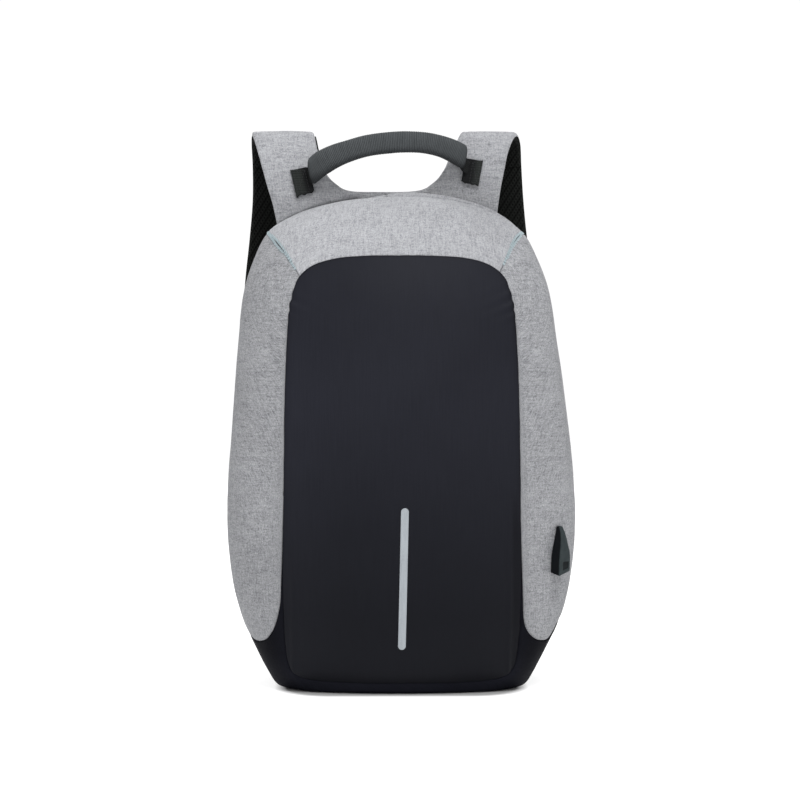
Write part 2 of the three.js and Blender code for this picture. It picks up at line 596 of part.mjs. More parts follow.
// Elliptic section sweep for the grip.
function grip() {
  const line = new THREE.CatmullRomCurve3(GRIP.map((r) => V(r.x, r.y, r.z)), false, "centripetal");
  const size = new THREE.CatmullRomCurve3(GRIP.map((r) => V(r.wide, r.thick, 0)), false, "catmullrom", 0.5);
  const sections = steps(0, 1, 30).map((u) => {
    const c = line.getPoint(u);
    const tangent = line.getTangent(u);
    const n = V(0, -1, 0).addScaledVector(tangent, tangent.y).normalize();
    const w = n.clone().cross(tangent);
    const s = size.getPoint(u);
    return Array.from({ length: 12 }, (_, k) => {
      const a = ((k + 0.5) / 12) * 2 * Math.PI;
      const cc = Math.sign(Math.cos(a)) * Math.abs(Math.cos(a)) ** 0.8;
      const ss = Math.sign(Math.sin(a)) * Math.abs(Math.sin(a)) ** 0.8;
      return c.clone().addScaledVector(w, (cc * s.x) / 2).addScaledVector(n, (ss * s.y) / 2);
    });
  });
  return loft(sections);
}
// Webbing tab: flat on the yoke's front, then rising to the end of the grip.
const yokeFront = (z) => smooth(HARNESS.slice(0, 8), "z", "y", z) - STRAP_THICK / 2 - 0.6;
function tab(side) {
  const T = TABS[side];
  const k = side === "left" ? 1 : -1; // the grip lies this way in x
  const a = T.lean * rad;
  const along = V(Math.cos(a), 0, Math.sin(a) * k).multiplyScalar(k);
  const across = V(-Math.sin(a) * k, 0, Math.cos(a));
  const rows = [
    { out: -T.wide / 2, lift: 0, tall: T.tall },
    { out: 0, lift: 0, tall: T.tall },
    { out: T.wide / 2, lift: 0, tall: T.tall },
    { out: T.wide / 2 + 1.6, lift: 1.2, tall: T.tall - 2 },
  ];
  const sections = rows.map(({ out, lift, tall }) => {
    const c = V(T.x, 0, T.z).addScaledVector(along, out);
    const lo = c.clone().addScaledVector(across, -tall / 2);
    const hi = c.clone().addScaledVector(across, tall / 2);
    const face = (p, depth) => V(p.x, yokeFront(p.z) - lift - depth, p.z);
    return [face(lo, 0), face(hi, 0), face(hi, TAB_THICK), face(lo, TAB_THICK)];
  });
  const line = new THREE.CatmullRomCurve3(GRIP.map((r) => V(r.x, r.y, r.z)), false, "centripetal");
  const end = side === "left" ? GRIP[0] : GRIP[GRIP.length - 1];
  const t = line.getTangent(side === "left" ? 0 : 1).multiplyScalar(-k);
  const c = V(end.x, end.y, end.z).addScaledVector(t, 0.5);
  const n = V(0, -1, 0).addScaledVector(t, t.y).normalize();
  const w = n.clone().cross(t).normalize();
  if (w.z < 0) w.negate();
  const half = end.wide / 2 - 2;
  const corner = (u, v) => c.clone().addScaledVector(w, u * half).addScaledVector(n, v);
  sections.push([corner(-1, -1), corner(1, -1), corner(1, 1), corner(-1, 1)]);
  return loft(sections);
}

// Adjusting webbing: from the anchor up behind the buckle, over its bar and down as a
// free end. Anchor patches, loops and buckles are alike on both sides.
function buckleFrame(side) {
  const end = HARNESS[lastRow];
  const middle = side === "left" ? (end.leftOut + end.leftIn) / 2 : (end.rightIn + end.rightOut) / 2;
  const t = harnessLine.getTangent(1);
  const w = V(1, 0, 0);
  const n = V(0, -t.z, t.y); // to the outside of the loop
  return { end: V(middle, end.y, end.z), down: t, w, n };
}
function placed(side, along, across, off) {
  const { end, down, w, n } = buckleFrame(side);
  return end.clone().addScaledVector(down, along).addScaledVector(w, across).addScaledVector(n, off);
}
// Ribbon of webbing along a path in the plane of a strap's side view: [along, off].
function ribbon(side, path, wide, thick = WEB.thick) {
  const sections = path.map(([along, off], i) => {
    const a = path[Math.max(i - 1, 0)];
    const b = path[Math.min(i + 1, path.length - 1)];
    const t = new THREE.Vector2(b[0] - a[0], b[1] - a[1]).normalize();
    const [nx, ny] = [(-t.y * thick) / 2, (t.x * thick) / 2];
    return [
      placed(side, along + nx, -wide / 2, off + ny),
      placed(side, along + nx, wide / 2, off + ny),
      placed(side, along - nx, wide / 2, off - ny),
      placed(side, along - nx, -wide / 2, off - ny),
    ];
  });
  return loft(sections);
}
// Turn of webbing round the edge of a bar that ends at "at", facing along "way".
const CLEAR = BUCKLE.thick / 2 + 0.45 + WEB.thick / 2; // middle of webbing to middle of bar
function turnRound(at, way) {
  const r = CLEAR - BUCKLE.thick / 2;
  const h = BUCKLE.thick / 2;
  const arc = [0, 30, 60, 90].map((a) => [at + way * r * Math.sin(a * rad), h + r * Math.cos(a * rad)]);
  return [...arc, ...arc.reverse().map(([u, v]) => [u, -v])];
}
const BAR_TOP = 7; // strap's end to the buckle's top bar
const SLOT = 5.6;
const MID_BAR = BAR_TOP + BUCKLE.bar + SLOT;
const LOW_BAR = MID_BAR + BUCKLE.bar + SLOT;
function buckleLoop(side) {
  const path = [[0.5, CLEAR], [4, CLEAR], ...turnRound(BAR_TOP + BUCKLE.bar, 1), [4, -CLEAR], [0.5, -CLEAR]];
  return ribbon(side, path, WEB.wide - 0.4);
}
function buckle(side) {
  const shape = new THREE.Shape();
  const { wide, thick, bar } = BUCKLE;
  const tall = 3 * bar + 2 * SLOT;
  const c = 3;
  const pts = [
    [-wide / 2 + c, 0], [wide / 2 - c, 0], [wide / 2, c], [wide / 2, tall - c],
    [wide / 2 - c, tall], [-wide / 2 + c, tall], [-wide / 2, tall - c], [-wide / 2, c],
  ];
  pts.forEach(([x, y], i) => (i ? shape.lineTo(x, y) : shape.moveTo(x, y)));
  shape.closePath();
  const slot = (y0, y1) => {
    const h = new THREE.Path();
    const s = WEB.wide / 2 + 0.9;
    h.moveTo(-s, y0);
    h.lineTo(-s, y1);
    h.lineTo(s, y1);
    h.lineTo(s, y0);
    h.closePath();
    shape.holes.push(h);
  };
  slot(bar, bar + SLOT);
  slot(2 * bar + SLOT, 2 * bar + 2 * SLOT);
  const g = new THREE.ExtrudeGeometry(shape, { depth: thick, bevelEnabled: false, steps: 1 });
  const p = g.attributes.position;
  for (let i = 0; i < p.count; i++) {
    const q = placed(side, BAR_TOP + p.getY(i), p.getX(i), p.getZ(i) - thick / 2);
    p.setXYZ(i, q.x, q.y, q.z);
  }
  return facingOut(g);
}
function lowerWeb(side) {
  const { end, down, n } = buckleFrame(side);
  // any (y, z) of the side view as [along, off]
  const from = (y, z) => {
    const d = V(0, y - end.y, z - end.z);
    return [d.dot(down), d.dot(n)];
  };
  const low = LOW_BAR + BUCKLE.bar;
  const path = [
    from(5.6, 18),
    from(5.7, 44),
    from(10, 66),
    from(19, 92),
    [low + 6, -CLEAR - 0.4],
    [low - 2, -CLEAR],
    ...turnRound(MID_BAR, -1).reverse(),
    [low - 2, CLEAR],
    [low + 6, CLEAR + 0.3],
    from(41, 118),
    from(41.2, 96),
    from(39.8, 78),
  ];
  return ribbon(side, path, WEB.wide - 0.4);
}
// Cloth patch on the back panel's lower corner that the webbing is sewn to.
function anchorPatch(side) {
  const k = side === "left" ? -1 : 1;
  const shape = new THREE.Shape();
  const pts = [[82, 8], [104, 9], [113, 17], [116, 34], [111, 47], [84.5, 47]];
  const list = k > 0 ? pts : pts.map(([x, z]) => [-x, z]).reverse();
  list.forEach(([x, z], i) => (i ? shape.lineTo(x, z) : shape.moveTo(x, z)));
  shape.closePath();
  const g = new THREE.ExtrudeGeometry(shape, { depth: 3, bevelEnabled: false, steps: 1 });
  const p = g.attributes.position;
  for (let i = 0; i < p.count; i++) p.setXYZ(i, p.getX(i), 3.9 - p.getZ(i), p.getY(i));
  return facingOut(g);
}

// ---------------------------------------------------------------- trim
function reflectiveStrip() {
  const { x, z, wide, tall, thick, lean: tilt } = STRIP;
  const a = tilt * rad;
  const r = wide / 2;
  const outline = [];
  for (const k of steps(-90, 90, 8)) outline.push([r * Math.sin(k * rad), tall / 2 - r + r * Math.cos(k * rad)]);
  for (const f of steps(0, 1, 12).slice(1, -1)) outline.push([r, (tall / 2 - r) * (1 - 2 * f)]);
  for (const k of steps(90, 270, 8)) outline.push([r * Math.sin(k * rad), -(tall / 2 - r) + r * Math.cos(k * rad)]);
  for (const f of steps(0, 1, 12).slice(1, -1)) outline.push([-r, -(tall / 2 - r) * (1 - 2 * f)]);
  // rows across the strip at equal heights, so that it follows the panel
  const heights = [...new Set(outline.map(([, v]) => Math.round(v * 1e4) / 1e4))].sort((p, q) => q - p);
  const place = (u, v, off) => {
    const px = x + u * Math.cos(a) + v * Math.sin(a);
    const pz = z + v * Math.cos(a) - u * Math.sin(a);
    return panel(px, pz).addScaledVector(panelNormal(px, pz), off);
  };
  const rows = heights.map((v) => {
    const over = Math.max(0, Math.abs(v) - (tall / 2 - r));
    const h = Math.max(0.4, Math.sqrt(Math.max(r * r - over * over, 0)));
    return [-h, h].map((u) => [u, v]);
  });
  const lift = 0.9; // clear of the flat facets of the panel below
  const grid = (off) => rows.map((row) => row.map(([u, v]) => place(u, v, off)));
  return between(grid(lift + thick), grid(lift));
}
function portFrame() {
  const c = wall(PORT.station, PORT.t);
  const n = wallNormal(PORT.station, PORT.t);
  const up = V(0, 0, 1).addScaledVector(n, -n.z).normalize();
  const side = up.clone().cross(n).normalize();
  return new THREE.Matrix4().makeBasis(side, up, n).setPosition(c.addScaledVector(n, 0.9));
}
function hood() {
  const bevel = 1.4;
  const sections = HOOD.map(({ up, wide, out }) => {
    const h = wide / 2;
    const b = Math.min(bevel, out / 2);
    return [V(-h, up, 0), V(h, up, 0), V(h, up, out - b), V(h - b, up, out), V(-h + b, up, out), V(-h, up, out - b)];
  });
  const body = solidOf(loft(sections));
  const { pocketWide, pocketDeep, pocketTall } = PORT;
  const cut = new THREE.BoxGeometry(pocketWide, pocketTall + 2, pocketDeep);
  cut.translate(0, HOOD[0].up - 1 + pocketTall / 2, 1.1 + pocketDeep / 2);
  return geometryFrom(body.subtract(solidOf(cut)));
}
function socket() {
  const { pocketWide, pocketDeep, pocketTall } = PORT;
  const tall = 5;
  const g = new THREE.BoxGeometry(pocketWide - 0.8, tall, pocketDeep - 0.8);
  g.translate(0, HOOD[0].up + pocketTall - tall / 2 - 0.4, 1.1 + pocketDeep / 2);
  const cut = new THREE.BoxGeometry(pocketWide - 2.4, 3.4, pocketDeep - 2.6);
  cut.translate(0, HOOD[0].up + pocketTall - tall - 0.4 + 1.5, 1.1 + pocketDeep / 2);
  return geometryFrom(solidOf(g).subtract(solidOf(cut)));
}
// Zip slider with its pull, riding on the zip near its lower end.
function slider(side) {
  const station = side === "right" ? SLIDER_STATION : COUNT - SLIDER_STATION;
  const y = (ZIP.front + ZIP.back) / 2;
  const c = backEdge(station, y, -0.5);
  const n = backEdge(station, y, -1).sub(backEdge(station, y, 0)).normalize();
  const up = V(0, 0, 1).addScaledVector(n, -n.z).normalize();
  const frame = new THREE.Matrix4().makeBasis(up.clone().cross(n), up, n).setPosition(c);
  const body = new THREE.BoxGeometry(7, 10, 2.2).translate(0, 0, 1.1);
  const bridge = new THREE.BoxGeometry(2, 6, 2).translate(0, 0, 2.9);
  const pull = new THREE.BoxGeometry(6, 24, 1.4).translate(0, -11, 4.1);
  const solid = solidOf(body).add(solidOf(bridge)).add(solidOf(pull));
  return geometryFrom(solid).applyMatrix4(frame);
}

// ---------------------------------------------------------------- scene
const cloth = (color, roughness = 0.9) => new THREE.MeshStandardMaterial({ color, roughness, metalness: 0 });
const MATERIALS = {
  greyCloth: cloth(0xb4b5b9, 0.95),
  blackCloth: cloth(0x25262b, 0.7),
  blackMesh: cloth(0x151615, 0.95),
  webbing: cloth(0x3a3d3f, 0.85),
  reflective: cloth(0xb4b9be, 0.35),
  rubber: cloth(0x2c3033, 0.55),
  plastic: cloth(0x1b1c1e, 0.45),
  metal: new THREE.MeshStandardMaterial({ color: 0x9a9da0, roughness: 0.3, metalness: 1 }),
};
const bag = new THREE.Group();
const walls = new THREE.Group();
const harness = new THREE.Group();
const trim = new THREE.Group();
bag.add(walls, harness, trim);
bag.position.set(0, Y_CENTRE, 0);
function put(group, name, geometry, material) {
  const mesh = new THREE.Mesh(geometry, MATERIALS[material]);
  mesh.name = name;
  group.add(mesh);
  return mesh;
}
put(walls, "front_panel", frontPanel(), "blackCloth");
put(walls, "top_band", pieceOf(PIECES.top), "greyCloth");
put(walls, "side_band_left", pieceOf(PIECES.sideLeft), "greyCloth");
put(walls, "side_band_right", pieceOf(PIECES.sideRight), "greyCloth");
put(walls, "base_cup", pieceOf(PIECES.base), "blackCloth");
put(walls, "main_zip", zip(), "plastic");
put(walls, "back_panel", backPanel(), "blackMesh");

put(harness, "yoke_cover", harnessLayer(yokeCells(), "cover"), "greyCloth");
put(harness, "yoke_mesh", harnessLayer(yokeCells(), "mesh"), "blackMesh");
for (const side of ["left", "right"]) {
  put(harness, `strap_cover_${side}`, harnessLayer(strapCells(side), "cover"), "greyCloth");
  put(harness, `strap_mesh_${side}`, harnessLayer(strapCells(side), "mesh"), "blackMesh");
  put(harness, `handle_tab_${side}`, tab(side), "webbing");
  put(harness, `buckle_loop_${side}`, buckleLoop(side), "webbing");
  put(harness, `buckle_${side}`, buckle(side), "plastic");
  put(harness, `lower_web_${side}`, lowerWeb(side), "webbing");
  put(harness, `web_anchor_${side}`, anchorPatch(side), "blackCloth");
  put(trim, `zip_slider_${side}`, slider(side), "metal");
}
put(harness, "handle_grip", grip(), "webbing");

put(trim, "reflective_strip", reflectiveStrip(), "reflective");
const port = portFrame();
const portGroup = new THREE.Group();
portGroup.applyMatrix4(port);
trim.add(portGroup);
put(portGroup, "usb_hood", hood(), "rubber");
put(portGroup, "usb_socket", socket(), "metal");

export default bag;
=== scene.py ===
"""Looks of the hard-fronted commuter backpack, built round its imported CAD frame.
Tables and surfaces are the part's own, in millimetres, evaluated on finer nets; every
Blender mesh is in metres. Front of the bag towards -Y, the wearer's back towards +Y."""
import math

import bmesh
import bpy
import numpy as np
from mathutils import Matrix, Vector


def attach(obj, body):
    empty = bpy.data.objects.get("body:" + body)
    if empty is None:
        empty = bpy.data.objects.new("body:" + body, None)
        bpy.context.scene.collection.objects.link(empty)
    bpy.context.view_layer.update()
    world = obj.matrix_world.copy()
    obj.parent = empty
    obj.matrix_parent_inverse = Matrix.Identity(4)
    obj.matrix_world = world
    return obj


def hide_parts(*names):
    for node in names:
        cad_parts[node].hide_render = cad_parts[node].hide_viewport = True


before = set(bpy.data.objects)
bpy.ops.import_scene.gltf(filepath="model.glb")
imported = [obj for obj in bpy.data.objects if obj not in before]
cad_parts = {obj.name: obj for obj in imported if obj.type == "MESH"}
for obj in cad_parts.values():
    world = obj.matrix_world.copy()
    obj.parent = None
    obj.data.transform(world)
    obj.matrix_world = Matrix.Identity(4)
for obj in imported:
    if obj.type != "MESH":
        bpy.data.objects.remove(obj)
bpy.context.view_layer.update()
scene = bpy.context.scene

# ------------------------------------------------------------------ camera
cam_data = bpy.data.cameras.new("camera")
cam_data.lens = 101.34
cam_data.sensor_width = 36
cam = bpy.data.objects.new("camera", cam_data)
scene.collection.objects.link(cam)
cam.location = (-0.02686, -1.99983, 0.3206)
cam.rotation_mode = "QUATERNION"
cam.rotation_quaternion = (Vector((-0.00068, 0, 0.2486)) - cam.location).to_track_quat("-Z", "Y")
scene.camera = cam

# ------------------------------------------------------------------ dimensions (mm)
WALL, GAP, Y_CENTRE = 3.4, 0.4, 43.57
LEAN, LEAN_FROM, LEAN_TO = -5, 180, 400
FALL_AT, FALL_POWER = 120, 2.2
DART, TOP, PANEL_MID_Z = 16, 20, 205
COUNT = 2 * TOP
FRONT = np.array([
    (-20, 112, 27), (9, 130, 27), (20, 137, 27), (60, 148.5, 27), (120, 154, 27), (180, 153, 27),
    (240, 146.5, 27), (300, 135.5, 27), (340, 124.5, 27), (375, 109, 26), (410, 88, 24)], float)
# px, pz, sx, sz, sy, bx, bz, by, slope, lp, ls, ls2, lb, turn
STATIONS = np.array([
    (0, 9.1, 0, 0, -123, 0, 0, -10, 27, 4.5, 3.5, 34, 34, 0),
    (46, 9.3, 49, 0, -119, 49, 0, -10, 27, 4.5, 3.6, 34, 34, 0),
    (76, 10.8, 82, 0, -110, 81, 0, -10, 28, 5.5, 5, 32, 32, 0),
    (89.5, 14.3, 99.6, 0, -92, 97, 0, -10, 30, 8, 10, 28, 28, 0),
    (96, 21, 110, 2.2, -74, 106, 2, -10, 31, 13, 19, 22, 20, 4),
    (99, 32, 117.4, 12, -63, 112.5, 11.4, -10, 30, 19, 28, 19, 16, 8),
    (100.6, 48, 127.3, 31.5, -60, 120, 30.5, -10, 28, 24, 36, 20, 16, 13),
    (101.5, 70, 138.6, 54.5, -60, 130.5, 55, -14, 25, 29, 40, 22, 16, 16),
    (102, 95, 146.9, 83.5, -60, 138.5, 85, -14, 23, 33, 42, 24, 16, 17),
    (101.9, 122, 151.5, 115, -60, 143.2, 117, -14, 22, 34, 43, 24, 16, 17),
    (101.2, 155, 153.2, 150, -60, 145.2, 151, -14, 22, 35, 43, 24, 16, 17),
    (100.6, 200, 150.7, 196, -60, 143, 197, -14, 22, 34, 42, 24, 16, 17),
    (100.2, 248, 145.6, 250, -60, 138, 250, -14, 22, 31, 40, 24, 16, 17),
    (98.8, 296, 139.9, 302, -59, 132.4, 302, -14, 22, 28, 38, 24, 16, 17),
    (96.2, 330, 134.2, 345, -56, 126.6, 343.5, -14, 23, 27, 36, 22, 15, 17),
    (93.4, 343, 124.8, 373.6, -49, 118, 371, -14, 24, 27, 35, 16, 11, 14),
    (88.8, 355.3, 113, 397.4, -41, 106.8, 399.4, -14, 26, 28, 34, 12, 8, 6),
    (78, 365.6, 92, 411.8, -35, 89, 415, -14, 28, 30, 35, 9, 6, -14),
    (58, 372.3, 67, 420.6, -33, 66, 425.4, -14, 29, 31, 36, 8, 6, -22),
    (30, 374.7, 34.5, 427.2, -32, 34.5, 432.6, -14, 30, 32, 36, 8, 6, -24),
    (0, 375, 0, 429.2, -32, 0, 434.4, -14, 30, 32, 36, 8, 6, -24)], float)
LEFT_SAG = {16: 2, 17: 6, 18: 7.5, 19: 4.5}
# row, y, z, leftOut, leftIn, rightIn, rightOut
HARNESS = np.array([
    (0, 4.5, 385, -107.1, -41, 11.6, 84.9), (1, 4.5, 404, -111.1, -41, 11.6, 86.9),
    (2, 4.5, 424, -115.3, -41, 11.6, 89.1), (3, 4.7, 439.4, -119.9, -53.6, 24.2, 91.4),
    (4, 5.1, 447, -122.1, -62.9, 33.6, 92.9), (5, 5.7, 456.6, -124.8, -69.3, 40.4, 94.9),
    (6, 8.8, 472, -129.1, -74.4, 47, 98.3), (7, 17.5, 484.6, -133.2, -77.2, 53.2, 103.6),
    (8, 32, 488, -135.6, -78.4, 55.8, 108.6), (9, 46, 481, -136.6, -78.6, 56.4, 112),
    (10, 54.5, 461, -136.1, -78.1, 56.1, 113.5), (11, 59.5, 430, -136.5, -78, 57.2, 115.8),
    (12, 63, 396, -139.5, -80.5, 60.6, 119.5), (13, 64.5, 360, -143.5, -84, 65.5, 125),
    (14, 64, 316, -146.5, -86.5, 72.5, 132.5), (15, 60, 270, -146, -86, 76, 136),
    (16, 52.5, 226, -140.5, -81.5, 76, 135), (17, 43.5, 188, -131.5, -76.5, 76, 131),
    (18, 37.5, 164, -121.5, -77.5, 79.5, 123.5)], float)
COLUMN = {"y": 1, "z": 2, "leftOut": 3, "leftIn": 4, "rightIn": 5, "rightOut": 6}
U_ROW, SEAM_ROW, LAST_ROW = 3, 10, 18
U_BOTTOM = np.array([(-53.6, 439.4), (-49.6, 437.6), (-43.5, 436.3), (-36, 435.8), (-13.7, 435.7), (5.8, 435.9), (17.6, 437.2), (24.2, 439.4)])
STRAP_HALF = 4.0
# x, y, z, wide, thick
GRIP = np.array([
    (-77.6, -6.5, 455.4, 22, 9), (-71.1, -10.5, 460.4, 22, 11), (-61.1, -14, 465.6, 21, 12),
    (-47.4, -17, 470.9, 19.5, 12), (-29.4, -19.4, 475.8, 19, 12), (-5.4, -20, 478.6, 19, 12),
    (18.6, -18.8, 478.6, 19, 12), (34.9, -15.8, 475.8, 19, 12), (46.9, -11.5, 471.6, 20, 11.5),
    (55.9, -7, 467, 21.5, 9.5)], float)
TAB_THICK = 2.2
TABS = {"left": dict(x=-89.2, z=444.4, lean=13, wide=15, tall=24.5), "right": dict(x=67.5, z=453, lean=10.5, wide=11, tall=23)}
STRIP = dict(x=0.8, z=101, wide=6.6, tall=121, thick=0.5, lean=1.2)
ZIP_STATION, ZIP_FRONT, ZIP_BACK, ZIP_SUNK = 7.05, -13.5, -10, 1.3
SLIDER_STATION = 8.2
BACK_THICK = 9.6
WEB_WIDE, WEB_THICK = 25, 1.8
BUCKLE_WIDE, BUCKLE_THICK, BAR = 34, 3.4, 4
BAR_TOP, SLOT = 7, 5.6
PORT_AT = np.array((134.2743, -72.145 - Y_CENTRE, 121.8166))
PORT_SIDE = np.array((0.6892, 0.7246, 0.0))
PORT_UP = np.array((0.0297, -0.0282, 0.9992))
PORT_OUT = np.array((0.724, -0.6886, -0.0409))
HOOD = np.array([(-21, 16, 8.8), (-6, 15.8, 8.8), (0, 14.4, 8.6), (3, 12.6, 8.2), (10, 9.2, 7), (16, 6.4, 5.2), (21, 4.6, 2.6)], float)


# ------------------------------------------------------------------ tables and curves
def unit(v):
    return v / np.maximum(np.linalg.norm(v, axis=-1, keepdims=True), 1e-12)


def smooth(keys, values, v):
    """Hermite value through (keys, values), slopes from the neighbours, flat outside."""
    k, c = np.asarray(keys, float), np.asarray(values, float)
    n = len(k)
    a, b = np.maximum(np.arange(n) - 1, 0), np.minimum(np.arange(n) + 1, n - 1)
    m = (c[b] - c[a]) / (k[b] - k[a])
    v = np.clip(np.asarray(v, float), k[0], k[-1])
    i = np.clip(np.searchsorted(k, v, side="left") - 1, 0, n - 2)
    h = k[i + 1] - k[i]
    s = (v - k[i]) / h
    return (c[i] * (2 * s**3 - 3 * s * s + 1) + m[i] * h * (s**3 - 2 * s * s + s)
            + c[i + 1] * (3 * s * s - 2 * s**3) + m[i + 1] * h * (s**3 - s * s))


class Curve:
    """Centripetal Catmull-Rom curve through points, open or closed."""

    def __init__(self, points, closed=False):
        self.p, self.closed = np.asarray(points, float), closed

    def __call__(self, u):
        p, n = self.p, len(self.p)
        u = np.asarray(u, float)
        if self.closed:
            q = (u % 1.0) * n
            i = np.floor(q).astype(int) % n
            w = q - np.floor(q)
            p0, p1, p2, p3 = (p[(i + k) % n] for k in (-1, 0, 1, 2))
        else:
            q = np.clip(u, 0, 1) * (n - 1)
            i = np.minimum(np.floor(q).astype(int), n - 2)
            w = q - i
            p1, p2 = p[i], p[i + 1]
            p0 = np.where((i > 0)[..., None], p[np.maximum(i - 1, 0)], 2 * p[0] - p[1])
            p3 = np.where((i + 2 < n)[..., None], p[np.minimum(i + 2, n - 1)], 2 * p[-1] - p[-2])
        d = [np.sum((b - a) ** 2, axis=-1) ** 0.25 for a, b in ((p0, p1), (p1, p2), (p2, p3))]
        d1 = np.where(d[1] < 1e-4, 1.0, d[1])
        d0 = np.where(d[0] < 1e-4, d1, d[0])
        d2 = np.where(d[2] < 1e-4, d1, d[2])
        d0, d1, d2, w = d0[..., None], d1[..., None], d2[..., None], w[..., None]
        t1 = ((p1 - p0) / d0 - (p2 - p0) / (d0 + d1) + (p2 - p1) / d1) * d1
        t2 = ((p2 - p1) / d1 - (p3 - p1) / (d1 + d2) + (p3 - p2) / d2) * d1
        return p1 + t1 * w + (-3 * p1 + 3 * p2 - 2 * t1 - t2) * w**2 + (2 * p1 - 2 * p2 + t1 + t2) * w**3

    def tangent(self, u):
        e = 1e-4
        if self.closed:
            return unit(self(u + e) - self(u - e))
        return unit(self(np.clip(u + e, 0, 1)) - self(np.clip(u - e, 0, 1)))


def step(a, b, v):
    s = np.clip((np.asarray(v, float) - a) / (b - a), 0, 1)
    return s * s * (3 - 2 * s)


def front_y(x, z):
    return -smooth(FRONT[:, 0], FRONT[:, 1], z) + smooth(FRONT[:, 0], FRONT[:, 2], z) * (np.abs(x) / FALL_AT) ** FALL_POWER


def panel(x, z):
    x, z = np.broadcast_arrays(np.asarray(x, float), np.asarray(z, float))
    return np.stack([x, front_y(x, z), z], -1)


def panel_normal(x, z):
    e = 0.5
    return unit(np.cross(panel(x + e, z) - panel(x - e, z), panel(x, np.asarray(z) + e) - panel(x, np.asarray(z) - e)))


def ring(pick, drop=None):
    right = np.array([pick(r) for r in STATIONS])
    left = right * (-1, 1, 1)
    for i, d in (drop or {}).items():
        left[i, 2] -= d
    return Curve(np.concatenate([right, left[1:-1][::-1]]), True)


def even_ring(a, b):
    right = np.stack([STATIONS[:, a], STATIONS[:, b], 0 * STATIONS[:, a]], -1)
    return Curve(np.concatenate([right, right[1:-1][::-1]]), True)


RING_P = ring(lambda r: (r[0], 0, r[1]))
RING_S = ring(lambda r: (r[2], r[4], r[3]))
RING_B = ring(lambda r: (r[5], r[7], r[6]), LEFT_SAG)
RING_A, RING_L, RING_M = even_ring(8, 13), even_ring(9, 10), even_ring(11, 12)


def bezier(a, b, c, d, t):
    t = t[..., None]
    return a * (1 - t) ** 3 + 3 * b * t * (1 - t) ** 2 + 3 * c * t * t * (1 - t) + d * t**3


def wall(station, t):
    """Point of the bag's side wall: station round the bag, t across it from 0 to 2."""
    station, t = np.broadcast_arrays(np.asarray(station, float), np.asarray(t, float))
    u = (station % COUNT) / COUNT
    p, s, b = RING_P(u), RING_S(u), RING_B(u)
    p[..., 1] = front_y(p[..., 0], p[..., 2])
    s[..., 2], b[..., 2] = np.maximum(s[..., 2], 0), np.maximum(b[..., 2], 0)
    a, l, m = RING_A(u), RING_L(u), RING_M(u)
    slope, turn = np.radians(a[..., :1]), np.radians(a[..., 1:2])
    out = s - p
    out[..., 1] = 0
    out = unit(out)
    y = np.array((0.0, 1.0, 0.0))
    first = bezier(p, p + (out * np.cos(slope) + y * np.sin(slope)) * l[..., :1], s - y * l[..., 1:2], s, np.clip(t, 0, 1))
    tb = -out * np.sin(turn) + y * np.cos(turn)
    second = bezier(s, s + y * m[..., :1], b - tb * m[..., 1:2], b, np.clip(t - 1, 0, 1))
    q = np.where((t <= 1)[..., None], first, second)
    k = np.where(t <= 1, t, 2 - t)
    q[..., 0] += LEAN * step(LEAN_FROM, LEAN_TO, q[..., 2]) * k * k * (3 - 2 * k)
    return q


def wall_normal(station, t):
    e = 0.02
    a, b = np.maximum(t - e, 0), np.minimum(t + e, 2)
    return unit(np.cross(wall(station, b) - wall(station, a), wall(station + e, t) - wall(station - e, t)))


def seam_normal(station):
    p = RING_P((station % COUNT) / COUNT)
    return unit(wall_normal(station, np.full_like(station, 0.004)) + panel_normal(p[..., 0], p[..., 2]))


def wall_offset(station, t):
    n = wall_normal(station, t)
    near = np.clip(1 - t / 0.12, 0, 1)[..., None]
    n = unit(n * (1 - near) + seam_normal(station) * near)
    back = np.clip((t - 1.6) / 0.4, 0, 1)
    n[..., 1] *= 1 - back
    return unit(n)


# where the sewn lines run: how far round the bag (station) for each place across the wall (t)
TONGUE_RIGHT = np.array([(0, 10), (0.004, 9.15), (0.012, 8.2), (0.025, 7.46), (0.035, 7.08), (0.058, 6.69), (0.1, 6.48), (0.155, 6.35),
                         (0.21, 6.3), (0.305, 6.25), (0.445, 6.28), (0.57, 6.34), (0.64, 6.48), (0.69, 6.74), (0.74, 7.0),
                         (0.83, 7.17), (1, 7.14), (1.5, 6.97), (2, 6.86)])
TONGUE_LEFT = np.array([(0, 10.4), (0.006, 9.2), (0.018, 8.15), (0.03, 7.5), (0.058, 7.11), (0.1, 6.79), (0.155, 6.56), (0.2, 6.45),
                        (0.25, 6.37), (0.325, 6.29), (0.475, 6.28), (0.635, 6.34), (0.815, 6.46), (1, 6.6), (1.5, 6.76), (2, 6.84)])
DART_RIGHT = np.array([(0, 16.46), (0.3, 16.38), (0.44, 16.3), (0.75, 16.08), (0.95, 15.96), (1.3, 16), (2, 16)])
DART_LEFT = np.array([(0, 23.88), (0.3, 23.9), (0.53, 23.95), (0.8, 23.98), (1.1, 24), (2, 24)])
# the line behind the crest of the top where the cloth is sewn down and the ridge begins
RIDGE = np.array([(15.5, 1.74), (16.4, 1.71), (17.2, 1.69), (18, 1.67), (18.6, 1.64), (19.1, 1.56), (19.6, 1.45), (20, 1.39),
                  (20.4, 1.43), (20.8, 1.58), (21.2, 1.8), (21.8, 1.98), (24, 2)])
at_t = lambda table: (lambda t: smooth(table[:, 0], table[:, 1], t))
tongue_right, tongue_left, dart_right, dart_left = map(at_t, (TONGUE_RIGHT, TONGUE_LEFT, DART_RIGHT, DART_LEFT))


def gap_at(station, t):
    """A twentieth of a millimetre, in stations: the pieces meet in the valley of the seam."""
    return 0.05 / np.linalg.norm(wall(station + 0.05, t) - wall(station - 0.05, t), axis=-1) / 10


